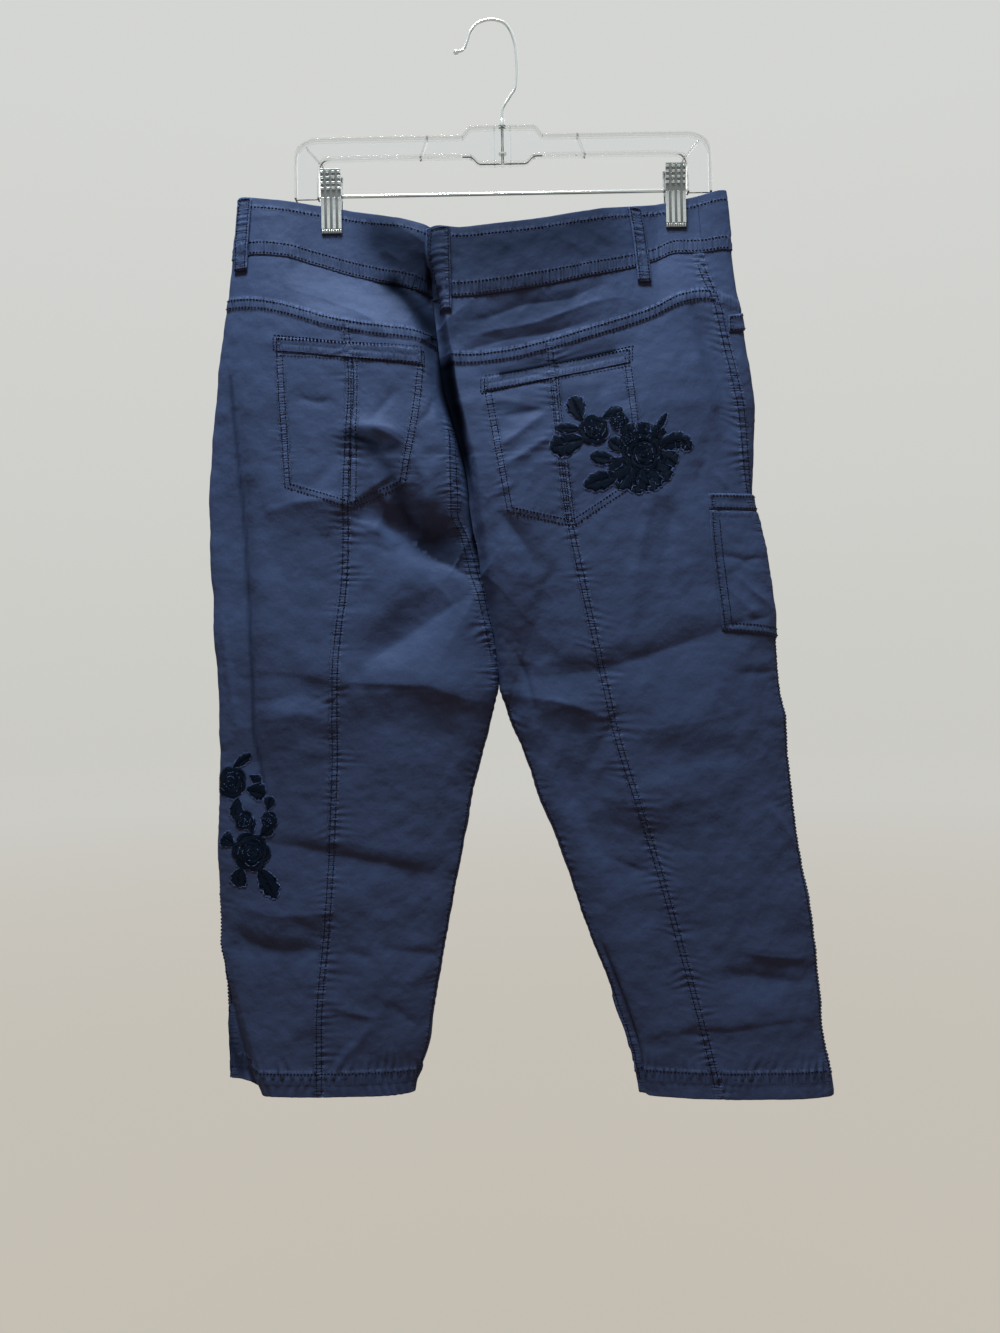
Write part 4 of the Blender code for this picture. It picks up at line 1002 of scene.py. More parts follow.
def stroke_tree():
    """Geometry Nodes that lay one short thread on each point, along its way and out of the cloth."""
    tree = bpy.data.node_groups.new("thread_strokes", "GeometryNodeTree")
    sockets = {"Points": "Geometry", "Sides": "Int", "Unevenness": "Float", "Finish": "Material"}
    for name, kind in sockets.items():
        tree.interface.new_socket(name, in_out="INPUT", socket_type=f"NodeSocket{kind}")
    tree.interface.new_socket("Threads", in_out="OUTPUT", socket_type="NodeSocketGeometry")
    work = Nodes(tree)
    given = tree.nodes.new("NodeGroupInput").outputs
    points, sides, unevenness, finish = (Wire(work, given[name]) for name in sockets)
    thread = work.node("GeometryNodeMeshUVSphere", None, {"Segments": sides, "Rings": 4, "Radius": 1.0})
    stored, vector = "GeometryNodeInputNamedAttribute", {"data_type": "FLOAT_VECTOR"}
    way, out, size = (work.node(stored, vector, {"Name": name}) for name in ("way", "out", "size"))
    along = work.node("FunctionNodeAlignRotationToVector", {"axis": "X"}, {"Vector": way})
    upright = {"axis": "Z", "pivot_axis": "X"}
    turned = work.node("FunctionNodeAlignRotationToVector", upright, {"Rotation": along, "Vector": out})
    limits = {2: 1.0 - unevenness, 3: 1.0 + unevenness, "Seed": 7}
    chance = work.node("FunctionNodeRandomValue", {"data_type": "FLOAT"}, limits, 1)
    scaled = work.node("ShaderNodeVectorMath", {"operation": "SCALE"}, {0: size, "Scale": chance})
    inputs = {"Points": points, "Instance": thread, "Rotation": turned, "Scale": scaled}
    laid = work.node("GeometryNodeInstanceOnPoints", None, inputs)
    real = work.node("GeometryNodeRealizeInstances", None, {0: laid})
    painted = work.node("GeometryNodeSetMaterial", None, {"Geometry": real, "Material": finish})
    work.join(painted, tree.nodes.new("NodeGroupOutput").inputs[0])
    return tree


def lay_threads(name, rows, finish_name, sides=5, unevenness=0.12):
    """One mesh of many threads from rows of places, ways, outward directions and sizes in millimetres."""
    places, ways, outs, sizes = (np.concatenate([row[k] for row in rows]) for k in range(4))
    mesh = bpy.data.meshes.new(name)
    mesh.from_pydata((places * MM).tolist(), [], [])
    for key, values in (("way", ways), ("out", outs), ("size", sizes * MM)):
        mark(mesh, key, values)
    points = into_scene(name, mesh)
    sewing = points.modifiers.new("threads", "NODES")
    sewing.node_group = bpy.data.node_groups.get("thread_strokes") or stroke_tree()
    given = {"Sides": sides, "Unevenness": unevenness, "Finish": looks()[finish_name]}
    for socket in sewing.node_group.interface.items_tree:
        if socket.name in given:
            sewing[socket.identifier] = given[socket.name]
    made = baked(points, sewing)
    made.name = name
    made.shade_smooth()
    return settle(points, finish_name)


def arithmetic(operation, reflected=False):
    """One of a wire's operators: a Math node, with its two values swapped for a reflected operator."""

    def operator(self, other):
        first, second = (other, self) if reflected else (self, other)
        return self.nodes.node("ShaderNodeMath", {"operation": operation}, {0: first, 1: second})

    return operator


class Wire:
    """A node's output socket. Arithmetic on it adds Math nodes to its tree."""

    def __init__(self, nodes, socket):
        self.nodes = nodes
        self.socket = socket

    __add__, __radd__ = arithmetic("ADD"), arithmetic("ADD", True)
    __sub__, __rsub__ = arithmetic("SUBTRACT"), arithmetic("SUBTRACT", True)
    __mul__, __rmul__ = arithmetic("MULTIPLY"), arithmetic("MULTIPLY", True)


class Nodes:
    """A node tree, and the ways in which nodes are added to it."""

    def __init__(self, tree):
        self.tree = tree

    def join(self, value, socket):
        if isinstance(value, Wire):
            self.tree.links.new(value.socket, socket)
        else:
            socket.default_value = value

    def node(self, kind, settings=None, inputs=None, output=0):
        made = self.tree.nodes.new(kind)
        for key, value in (settings or {}).items():
            setattr(made, key, value)
        for key, value in (inputs or {}).items():
            self.join(value, made.inputs[key])
        return Wire(self, made.outputs[output])

    def body(self):
        return self.node("ShaderNodeTexCoord", None, None, "Object")

    def stored(self, name, output):
        return self.node("ShaderNodeAttribute", {"attribute_name": name}, None, output)

    def noise(self, place, scale, detail=2.0, rough=0.5):
        sizes = {"Vector": place, "Scale": scale, "Detail": detail, "Roughness": rough}
        return self.node("ShaderNodeTexNoise", None, sizes)

    def map_range(self, value, low, high, least=0.0, most=1.0):
        limits = {"Value": value, "From Min": low, "From Max": high, "To Min": least, "To Max": most}
        return self.node("ShaderNodeMapRange", None, limits)

    def mix(self, share, first, second):
        return self.node("ShaderNodeMix", {"data_type": "RGBA"}, {0: share, 6: first, 7: second}, 2)

    def bump(self, height, distance, strength=1.0, under=None):
        inputs = {"Strength": strength, "Distance": distance, "Height": height}
        if under is not None:
            inputs["Normal"] = under
        return self.node("ShaderNodeBump", None, inputs)


class Look(Nodes):
    """A material, and the nodes that it is made of."""

    def __init__(self, name, rough, metallic=0.0, colour=(0.5, 0.5, 0.5), **constants):
        self.material = bpy.data.materials.new(name)
        self.material.use_nodes = True
        super().__init__(self.material.node_tree)
        self.shader = self.tree.nodes["Principled BSDF"]
        self.set("Base Color", tint(colour))
        self.set("Roughness", rough)
        self.set("Metallic", metallic)
        for socket, value in constants.items():
            self.set(socket.replace("_", " ").title().replace("Ior", "IOR"), value)

    def set(self, socket, value):
        self.join(value, self.shader.inputs[socket])


def dark(colour, share):
    return tuple(value * share for value in colour)


def tint(colour, share=1.0):
    """A colour as its sockets take it, darker or paler by a share."""
    return (*dark(colour, share), 1.0)


def cloth_look(name, colour, wear_strength):
    """Dyed cotton twill with a soft sheen: faint ribs, uneven dye, pale wear on its edges, and painted shade
    in its puckers and deep folds.
    """
    look = Look(name, 0.62, sheen_weight=0.03, sheen_roughness=0.4, specular_ior_level=0.12)
    body = look.body()
    seams = look.stored("seams", 1)
    along, gathered, worn = (look.node("ShaderNodeSeparateXYZ", None, {0: seams}, axis) for axis in range(3))
    flat = look.node("ShaderNodeUVMap", {"uv_map": "cloth"})
    slant = {"Vector": flat, "Rotation": (0, 0, 1.1), "Scale": (1, 0.12, 1)}
    weave = look.noise(look.node("ShaderNodeMapping", None, slant), 1900.0, 1.0)
    rungs = look.noise(look.node("ShaderNodeCombineXYZ", None, {0: along}), 420.0, 1.0)
    rungs = look.map_range(rungs, 0.36, 0.56)
    dye = look.noise(body, 14.0, 4.0, 0.6) * 0.5
    dye = dye + look.noise(body, 160.0, 2.0) * 0.25 + look.noise(body, 640.0, 2.0) * 0.25
    rumples = look.noise(body, 75.0, 3.0, 0.55)
    pale = tint(min(1, 0.03 + value * 1.9) for value in colour)
    tone = look.mix(dye, tint(colour, 0.72), tint(colour, 1.28))
    # Painted shade: the cloth darkens in the ladder between the puckers beside each seam.
    tone = look.mix(gathered * (1 - rungs) * 0.4, tone, tint(colour, 0.3))
    look.set("Base Color", look.mix(worn * wear_strength * look.noise(body, 260.0, 2.0) * rungs, tone, pale))
    look.set("Roughness", 0.7 - dye * 0.16)
    creased = look.bump(rumples, 0.0017, 0.6, look.bump(gathered * rungs, 0.0005, 0.8))
    look.set("Normal", look.bump(weave, 0.00012, 0.5, creased))
    look.set("Sheen Tint", pale)
    lit = Wire(look, look.shader.outputs[0])
    # Painted shade: where the deep folds are marked, the cloth turns into a nearly black diffuse surface.
    shaded = look.node("ShaderNodeBsdfDiffuse", None, {"Color": tint(colour, 0.05)})
    both = look.node("ShaderNodeMixShader", None, {0: look.stored("painted_fold_shade", 2), 1: lit, 2: shaded})
    look.join(both, look.tree.nodes["Material Output"].inputs[0])


def plain_look(name, colour, rough, metallic, grain, shine=0.5):
    """A finish of one colour with a fine grain in its tone and roughness."""
    look = Look(name, rough, metallic, colour, specular_ior_level=shine)
    marks = look.noise(look.body(), 300.0, 3.0)
    look.set("Roughness", rough - 0.5 * grain + marks * grain)
    look.set("Base Color", look.mix(marks, tint(colour, 1 - grain), tint(colour, 1 + 0.3 * grain)))


def clear_look(name, colour):
    """Clear plastic, which bends the light most at its rounded edges."""
    Look(name, 0.04, 0.0, colour, specular_ior_level=0.5, ior=1.49, transmission_weight=1.0)


def clip_look(name, colour):
    """Plated steel: its plate between the studs and ribs is rougher and darkened by painted shade."""
    look = Look(name, 0.3, 1.0, colour)
    painted_recess_shade, marks = look.stored("painted_recess_shade", 2), look.noise(look.body(), 900.0, 3.0)
    tone = look.mix(marks, tint(colour, 0.75), tint(colour))
    # Painted shade: the faces that lie low between the studs and ribs are darkened.
    look.set("Base Color", look.mix(painted_recess_shade * 0.75, tone, tint(colour, 0.12)))
    look.set("Roughness", 0.2 + marks * 0.2 + painted_recess_shade * 0.2)


def looks():
    """The object's materials, made once, from the colours in the sidebar."""
    tints = bpy.context.scene.capri_colours
    finishes = {
        "twill": (cloth_look, tints.cloth, 0.8),
        "trim_twill": (cloth_look, dark(tints.cloth, 0.92), 0.9),
        "sewing_thread": (plain_look, tints.thread, 0.7, 0.0, 0.3, 0.1),
        "satin_thread": (plain_look, tints.embroidery, 0.55, 0.0, 0.3, 0.07),
        # A pale thread, which also paints the highlight on the puckered cloth round the embroidery.
        "edge_thread": (plain_look, dark(tints.cloth, 2.4), 0.7, 0.0, 0.4, 0.1),
        "frame_plastic": (clear_look, tints.plastic),
        "bright_wire": (plain_look, tints.metal, 0.16, 1.0, 0.1),
        "plated_clip": (clip_look, dark(tints.metal, 0.9)),
        "button_plate": (plain_look, tints.thread, 0.35, 0.0, 0.2),
    }
    for name, (make, *values) in finishes.items():
        if name not in bpy.data.materials:
            make(name, *values)
    return bpy.data.materials


def settle(piece, finish_name, *nodes):
    """Gives a piece its finish, lets it ride on the part and stand for its solids."""
    piece.data.materials.clear()
    piece.data.materials.append(looks()[finish_name])
    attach(piece, "root")
    if nodes:
        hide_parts(*nodes)
    return piece


CLIPS = ("clip_left_back_jaw", "clip_left_front_jaw", "clip_right_back_jaw", "clip_right_front_jaw")


def hang(piece, *rests):
    """Takes away the width and length of its cut that were stored on a piece."""
    del piece["cut"]


# The garment's panels: columns of the part's grid and their widths, its rows and their heights, pitch,
# thickness and lift over the body
BACK, INNER, OUTER, FRONT = (0, 1, 2), (0, 1), (1, 2), (2, 3)
PANELS = (
    ("back_inner", INNER, (100,), (2, 3, 4, 5), (300, 320, 21), 1.5, 1.3, 0.0),
    ("back_outer", OUTER, (110,), (2, 3, 4, 5), (310, 320, 21), 1.5, 1.3, 0.0),
    ("front", FRONT, (190,), (1, 2, 3, 4, 5), (45, 300, 320, 21), 2.4, 1.3, 0.0),
    ("yoke", BACK, (80, 90), (1, 2), (42,), 1.0, 1.3, 0.1),
    ("waistband_back", BACK, (80, 90), (0, 1), (52,), 1.0, 2.2, 0.9),
    ("waistband_front", FRONT, (180,), (0, 1), (52,), 1.3, 2.2, 0.9),
)
# The hems that hang from a panel are cut in one with it
HEMS = {"back_outer": "hem_back", "front": "hem_front"}


def build_panels(*names):
    """Builds the named panels of both halves."""
    fullness = bpy.context.scene.capri_sizes.cloth_fullness
    for name, across, widths, down, heights, pitch, thickness, lift in PANELS:
        if name not in names:
            continue
        finish_name = "trim_twill" if "waistband" in name else "twill"
        hems = [HEMS[name]] if name in HEMS else []
        for side in OUT:
            node = f"{name}_{side}"
            columns, rows = fine(across, widths, pitch), fine(down, heights, pitch)
            piece = cloth_piece(f"sewn_{node}", side, columns, rows, thickness * fullness, lift)
            settle(piece, finish_name, node, *(f"{hem}_{side}" for hem in hems))
            hang(piece, *(CLIPS if "waistband" in name else (f"sewn_waistband_back_{side}",)))


class CAPRI_OT_panels(bpy.types.Operator):
    """Builds the four back panels and the two fronts, down to their hems"""

    bl_idname = "capri.panels"
    bl_label = "Back and Front Panels"

    def execute(self, context):
        build_panels("back_inner", "back_outer", "front")
        return {"FINISHED"}


class CAPRI_OT_waist(bpy.types.Operator):
    """Builds the yokes and the waistband"""

    bl_idname = "capri.waist"
    bl_label = "Yokes and Waistband"

    def execute(self, context):
        build_panels("yoke", "waistband_back", "waistband_front")
        return {"FINISHED"}


def build_trim(name, side, line, thickness, lift, rest, finish_name="trim_twill"):
    """Builds a piece that lies on the cloth over a panel or the waistband."""
    piece = overlay(f"sewn_{name}", side, *line, thickness, lift)
    hang(settle(piece, finish_name, name), f"sewn_{rest}")


def loop_bow(count):
    """How far a belt loop stands off the cloth down its length, from 0 at its ends to 1."""
    return np.sin(np.pi * np.linspace(0, 1, count)) ** 0.7


class CAPRI_OT_trims(bpy.types.Operator):
    """Builds the pocket bands, the fly flap and the belt loops"""

    bl_idname = "capri.trims"
    bl_label = "Pocket Bands and Belt Loops"

    def execute(self, context):
        for name, (layer, side, corners) in WELTS.items():
            angle, z = patch_grid(side, layer, corners, 110, 14)
            lift = np.broadcast_to(np.linspace(-0.4, -0.1, angle.shape[1]), angle.shape)
            build_trim(name, side, (angle, z), 1.0, lift, f"waistband_back_{side}")
        left, right = -LOOP_WIDTH / 2, LOOP_WIDTH / 2
        for name, (layer, side, top_x, top_z, foot_x, foot_z) in LOOPS.items():
            corners = [(top_x + left, top_z), (top_x + right, top_z)]
            corners += [(foot_x + right, foot_z), (foot_x + left, foot_z)]
            angle, z = patch_grid(side, layer, corners, 14, 66)
            across, down = (np.linspace(0, 1, count) for count in angle.shape)
            down = down * (top_z - foot_z)
            rungs = np.sin(2 * np.pi * down / 7.0 + 3.0 * wander(down, 8, 5))
            rungs *= 0.65 + 0.35 * wander(down, 11, 6)
            middle = np.clip(1.5 * np.sin(np.pi * across) - 0.5, 0, 1)[:, None]
            lift = LOOP_SEAT + 0.4 + (LOOP_LIFT - LOOP_SEAT) * loop_bow(len(down)) + 0.5 * middle * rungs
            build_trim(name, side, (angle, z), 1.5, lift, f"waistband_back_{side}")
        return {"FINISHED"}


class CAPRI_OT_side_pocket(bpy.types.Operator):
    """Builds the cargo pocket and its band, and the band at the right hip"""

    bl_idname = "capri.side_pocket"
    bl_label = "Side Pocket"

    def execute(self, context):
        for name, (_, _, steps, thickness, lift, finish_name, rest) in SIDE_PIECES.items():
            build_trim(name, "right", fold_round(name, *steps), thickness, lift, f"{rest}_right", finish_name)
        return {"FINISHED"}


def seam_rows(side):
    """Every row of stitches on one half of the garment."""
    rows, out, left = [], OUT[side], side == "left"

    def add(line, lift=0.3):
        rows.append(threads_along(side, line, lift))

    def add_upright(layer, x, z):
        add((angle_at(side, layer, x, z), z))

    edge = outer_edge(side, -170.0)
    for layer in LAYERS:
        xs = np.linspace(inner_edge(side, layer, -200.0) + out * 2, edge - out * 1.5, 160)
        for row, below in ((0, 8.0), (1, -2.0), (1, -11.0)):
            add(row_line(side, layer, xs, row, below), 1.25)
    for below in SEAMS["yoke"][2]:
        xs = np.linspace(inner_edge(side, "back", -270.0) + out, edge - (10 if left else 14), 160)
        add(row_line(side, "back", xs, 2, below), 0.4)
    for away in SEAMS["long"][2]:
        z = np.linspace(-266 if left else -286, -903, 420)
        add_upright("back", column(BACK_SEAM[side], z) - away, z)
    for away in SEAMS["side"][2]:
        z = np.linspace(-212, -884 if left else -900, 460)
        angles = np.clip(side_seam_angle(side, z) - np.linspace(0, 14, 57)[:, None], -90, 270)
        gaps = np.abs(side_away(side, angles, across_at(side, angles, z), z) - away)
        add((angles[np.argmin(gaps, axis=0), np.arange(len(z))], z))
    for away in SEAMS["centre"][2] if left else ():
        z = np.linspace(-350, -540, 150)
        add_upright("back", column(CENTRE_BAND, z) - away, z)
    for layer in LAYERS:
        z = np.linspace(-575, -900, 200)
        add_upright(layer, inner_edge(side, layer, z) + out * 2.2, z)
        xs = np.linspace(inner_edge(side, layer, -886.0) + out * 3, outer_edge(side, -886.0) - out * 3, 200)
        add(row_line(side, layer, xs, 4, 1.5))
    for away in SEAMS["pocket"][2]:
        add(poly_line(side, "back", beside(POCKET_LINES[side], away)))
    for away in SEAMS["pocket_middle"][2]:
        add(poly_line(side, "back", np.array(POCKET_MIDDLE[side], float) + (away, 0)))
    return rows


def band_rows(side):
    """The stitches round the pocket openings and the bands, and on the belt loops."""
    rows = []

    def add(layer, points, lift, step=1.2, *sizes):
        rows.append(threads_along(side, poly_line(side, layer, points, step), lift, *sizes))

    for layer, band_side, corners in WELTS.values():
        if band_side == side:
            ring = np.array((*corners, corners[0]), float)
            inwards = np.sign(ring[:4].mean(axis=0) - ring)
            for inset, lift in ((1.6, 1.1), (-1.4, 0.2)):
                add(layer, ring + inwards * inset, lift)
    for layer, loop_side, top_x, top_z, foot_x, foot_z in LOOPS.values():
        if loop_side != side:
            continue
        for away in (1.7 - LOOP_WIDTH / 2, LOOP_WIDTH / 2 - 1.7):
            line = poly_line(side, layer, ((top_x + away, top_z), (foot_x + away, foot_z)), 0.9)
            lift = LOOP_SEAT + 2.2 + (LOOP_LIFT - LOOP_SEAT) * loop_bow(len(line[1]))
            rows.append(threads_along(side, line, lift))
        for x, z in ((top_x, top_z - 3.2), (foot_x, foot_z + 3.2)):
            for height in (z, z + 1.0):
                add(layer, ((x - 4.6, height), (x + 4.6, height)), 2.5, 0.6, 0.75, 1.6)
    return rows


def side_rows():
    """The stitches round the cargo pocket, its band and the band at the right hip."""
    rows = []
    for name, (top, bottom, _, thickness, lift, _, _) in SIDE_PIECES.items():
        angle, z = fold_round(name, 200, 100)
        tall = top[0] - bottom[0]
        for inset in (2.0, 6.6) if tall > 20 else (2.0,):
            i, j = round(inset), round(100 * inset / tall)
            places = [(i, slice(j, -j)), (slice(i, -i), -1 - j)]
            if tall < 20:
                places.append((slice(i, -i), j))
            for place in places:
                rows.append(threads_along("right", (angle[place], z[place]), lift + thickness + 0.25))
    return rows


class CAPRI_OT_stitches(bpy.types.Operator):
    """Sews every seam, band and loop"""

    bl_idname = "capri.stitches"
    bl_label = "Stitches"

    def execute(self, context):
        for side in OUT:
            lay_threads(f"stitches_{side}", seam_rows(side), "sewing_thread")
            lay_threads(f"band_stitches_{side}", band_rows(side), "sewing_thread")
        lay_threads("side_pocket_stitches", side_rows(), "sewing_thread")
        return {"FINISHED"}


# The satin stitched motifs, set out freely. Roses: centre across and up, radius, turn.
ROSES = {
    "right": ((121, -374, 21, 10), (80, -354, 13, 75), (100, -347, 8, 30), (107, -363, 7, 120)),
    "left": ((-213, -700, 17, 200), (-230, -642, 14, 130), (-219, -673, 8.5, 20), (-197, -673, 8.0, 85)),
}
# Leaves: foot across and up, length, width, the way they point in degrees
LEAVES = {
    "right": (
        (70, -346, 22, 15, 112), (72, -361, 31, 19, 196), (69, -353, 23, 8, 178), (86, -345, 20, 10, 24),
        (98, -379, 23, 11, 172), (101, -391, 33, 15, 197), (132, -366, 29, 14, 8), (153, -361, 12, 9, 305),
        (131, -356, 19, 5, 58), (112, -364, 15, 14, 112), (121, -362, 14, 14, 86), (128, -364, 15, 13, 58),
        (134, -370, 14, 12, 30), (114, -378, 27, 20, 212), (114, -380, 28, 19, 236),
        (118, -382, 26, 20, 258), (123, -382, 24, 19, 280), (128, -379, 22, 18, 304),
        (133, -374, 18, 16, 332), (104, -372, 16, 11, 140),
    ),
    "left": (
        (-207, -712, 31, 15, 300), (-221, -712, 18, 14, 252), (-227, -694, 13, 13, 150),
        (-212, -684, 14, 9, 98), (-205, -687, 14, 10, 42), (-198, -665, 12, 9, 78),
        (-217, -647, 18, 14, 348), (-214, -636, 12, 8, 328), (-224, -654, 20, 11, 262),
        (-228, -629, 20, 7, 36),
    ),
}
# Each ring of a rose: inner and outer reach as shares of its radius, petals, lift in millimetres
RINGS = ((0.56, 1.0, 6, 0.35), (0.3, 0.68, 5, 0.6), (0.12, 0.4, 4, 0.85), (0.0, 0.18, 2, 1.05))
SATIN_PITCH = 0.52


def rose_strokes(x, z, radius, turn, chance):
    """Threads of a rose: rings of overlapping petals, each thread running outwards with a slight twist."""
    strokes = []
    for number, (near, far, petals, lift) in enumerate(RINGS):
        span = 2 * math.pi / petals
        for petal in range(petals):
            full = radius * (0.86 + 0.24 * chance.random())
            start = math.radians(turn) + petal * span + number * 0.55 * span
            count = max(4, round(span * 1.12 * radius * (near + far) / 2 / SATIN_PITCH))
            for i in range(count):
                share = i / (count - 1)
                angle = start + share * span * 1.12
                bulge = 0.8 + 0.2 * math.sin(math.pi * share) ** 0.6
                twist = 0.16 * (share - 0.3)
                first, last = radius * near * (0.94 + 0.06 * bulge), full * far * bulge
                height = lift + 0.25 * math.sin(math.pi * share)
                pieces = max(1, round((last - first) / 4.4))
                steps = np.linspace(first, last, pieces + 1)
                for a, b in zip(steps, steps[1:]):
                    a, b = a - 0.3 * chance.random(), b + 0.5 * chance.random()
                    p = (x + a * math.cos(angle), z + a * math.sin(angle))
                    q = (x + b * math.cos(angle + twist), z + b * math.sin(angle + twist))
                    strokes.append((*p, *q, height))
    return strokes


def leaf_ways(way):
    """The ways along a leaf and over it, from the way it points in degrees."""
    along = np.array((math.cos(math.radians(way)), math.sin(math.radians(way))))
    return along, np.array((-along[1], along[0]))


def leaf_half(width, share):
    """Half the width of a toothed leaf at a share of its length."""
    return width / 2 * np.sin(np.pi * share**0.8) ** 0.8 * (1 + 0.14 * np.sin(share * 3.6 * 2 * np.pi))


def leaf_strokes(x, z, length, width, way, chance):
    """Threads of a leaf: two halves that slant from its rib to a toothed edge, and the rib."""
    along, over = leaf_ways(way)
    strokes = []
    count = max(6, round(length / SATIN_PITCH / 0.85))
    for half in (-1, 1):
        for i in range(count):
            share = i / count
            wide = leaf_half(width, share)
            start = np.array((x, z)) + along * share * length * 0.96
            end = start + half * over * wide + along * wide * 0.6 + (chance.random(2) - 0.5) * 0.4
            strokes.append((*start, *end, 0.45 + 0.15 * half))
    for i in range(5):
        start = np.array((x, z)) + along * length * (0.02 + 0.18 * i)
        strokes.append((*start, *(start + along * length * 0.2), 0.75))
    return strokes


def leaf_outline(x, z, length, width, way, chance):
    """The thin pale thread that runs round a leaf, which also paints the highlight of the puckered cloth at
    its edge.
    """
    along, over = leaf_ways(way)
    strokes = []
    share = np.linspace(0, 1, 9)
    wide = 0.9 + leaf_half(width, share)
    run_along = share * length * 0.96 + wide * 0.62
    for half in (-1, 1):
        line = np.array((x, z)) + np.outer(run_along, along) + half * np.outer(wide, over)
        line += 0.5 * (chance.random(line.shape) - 0.5)
        strokes += [(*a, *b, 0.45) for a, b in zip(line, line[1:])]
    return strokes


def rose_outline(x, z, radius, turn, chance):
    """The thin pale threads that run round a rose's outer petals and between its rings, which also paint its
    highlights.
    """
    strokes = []
    for number, (_, far, petals, lift) in enumerate(RINGS):
        angle = np.linspace(0, 2 * math.pi, 6 * petals + 1) + number * 1.1 * math.pi / petals
        angle += math.radians(turn)
        share = np.linspace(0, petals, 6 * petals + 1) % 1
        reach = radius * far * (0.86 + 0.16 * np.sin(np.pi * share)) + 0.3 * (chance.random(len(angle)) - 0.5)
        line = np.stack([x + reach * np.cos(angle), z + reach * np.sin(angle)], axis=1)
        kept = 0.85 if number == 0 else 0.3
        lift += 0.3 * (number > 0)
        strokes += [(*a, *b, lift) for a, b in zip(line, line[1:]) if chance.random() < kept]
    return strokes


def motif_rows(side, of_leaf, of_rose, thick):
    """The threads that two functions lay for the leaves and the roses of one half of the garment."""
    chance = np.random.default_rng(11)
    strokes = []
    for lay, motifs in ((of_leaf, LEAVES), (of_rose, ROSES)):
        for motif in motifs[side]:
            strokes += lay(*motif, chance)
    ends = np.array(strokes)
    kept = []
    for x, z in (ends[:, 0:2].T, ends[:, 2:4].T):
        edge = outer_edge(side, z)
        x = np.maximum(x, edge + 0.6) if side == "left" else np.minimum(x, edge - 0.6)
        kept.append(on_cloth(side, angle_at(side, "back", x, z), z, ends[:, 4]))
    (first, out_first), (last, out_last) = kept
    reach = np.linalg.norm(last - first, axis=1)
    size = np.stack([reach * 0.54, np.full(len(reach), thick), np.full(len(reach), 0.75 * thick)], axis=1)
    return [((first + last) / 2, last - first, out_first + out_last, size)]


class CAPRI_OT_embroidery(bpy.types.Operator):
    """Embroiders flowers and leaves on the right back pocket and the left leg"""

    bl_idname = "capri.embroidery"
    bl_label = "Embroidery"

    def execute(self, context):
        for side in OUT:
            satin = motif_rows(side, leaf_strokes, rose_strokes, 0.37)
            lay_threads(f"embroidery_{side}", satin, "satin_thread", 5, 0.08)
            # Pale threads round each motif, partly a painted highlight on the cloth at its edge.
            edges = motif_rows(side, leaf_outline, rose_outline, 0.32)
            lay_threads(f"embroidery_edge_{side}", edges, "edge_thread", 5, 0.2)
        return {"FINISHED"}


def solid_from(name, bm):
    """A smoothly shaded object in the scene from a bmesh in millimetres."""
    bmesh.ops.recalc_face_normals(bm, faces=bm.faces)
    bmesh.ops.scale(bm, vec=(MM, MM, MM), verts=bm.verts)
    mesh = bpy.data.meshes.new(name)
    bm.to_mesh(mesh)
    bm.free()
    mesh.shade_smooth()
    return into_scene(name, mesh)


# Face numbers while an edge is rounded: those of the rounding itself, and those that lie low on a clip, which
# get painted shade
ROUNDED_FACE, SUNK_FACE = 1, 2


def softened(piece, width):
    """The piece with its sharp edges rounded off, its broad faces left flat and its low-lying ones marked for
    painted shade.
    """
    edge = piece.modifiers.new("edge", "BEVEL")
    edge.width = width * MM
    edge.segments = 2
    edge.limit_method = "ANGLE"
    edge.angle_limit = math.radians(35)
    edge.harden_normals = True
    for _ in range(3):
        piece.data.materials.append(None)
    edge.material = ROUNDED_FACE
    made = baked(piece, edge)
    kind = np.zeros(len(made.polygons), np.int32)
    made.polygons.foreach_get("material_index", kind)
    made.polygons.foreach_set("material_index", 0 * kind)
    mark(made, "painted_recess_shade", kind == SUNK_FACE, "FACE")
    return piece


def skin(bm, rings):
    """Adds faces between rings of vertices and closes the first and the last ring."""
    for first, second in zip(rings, rings[1:]):
        for i in range(len(first)):
            j = (i + 1) % len(first)
            bm.faces.new((first[i], first[j], second[j], second[i]))
    bm.faces.new(rings[0])
    bm.faces.new(rings[-1][::-1])


def prism(bm, outline, low_x, high_x):
    """Adds a solid from an outline of places along Y and heights, from one place across to another."""
    skin(bm, [[bm.verts.new((x, y, z)) for y, z in outline] for x in (low_x, high_x)])


def tube(bm, line, radius, sides=16):
    """Adds a round wire along a line of points."""
    line = np.array(line, float)
    turn = np.linspace(0, 2 * math.pi, sides, endpoint=False)[:, None]
    rings = []
    for point, way in zip(line, unit(np.gradient(line, axis=0))):
        first = unit(np.cross(way, (0, 1, 0) if abs(way[1]) < 0.9 else (1, 0, 0)))
        ring = point + radius * (np.cos(turn) * first + np.sin(turn) * np.cross(way, first))
        rings.append([bm.verts.new(p) for p in ring])
    skin(bm, rings)


def turned(bm, profile, x, steps):
    """Adds a solid turned about an upright axis, from its profile of reaches and heights."""
    ring = [bm.verts.new((x + reach, 0, z)) for reach, z in profile]
    edges = [bm.edges.new(pair) for pair in zip(ring, ring[1:])]
    bmesh.ops.spin(bm, geom=edges, cent=(x, 0, 0), axis=(0, 0, 1), angle=2 * math.pi, steps=steps)
    bmesh.ops.remove_doubles(bm, verts=bm.verts, dist=0.01)


def smooth_way(points, steps):
    """Points along a smooth curve through the given ones."""
    points = np.array(points, float)
    reach = run(points)
    at = np.linspace(0, reach[-1], steps)
    return np.stack([column(list(zip(reach, values)), at) for values in points.T], axis=1)


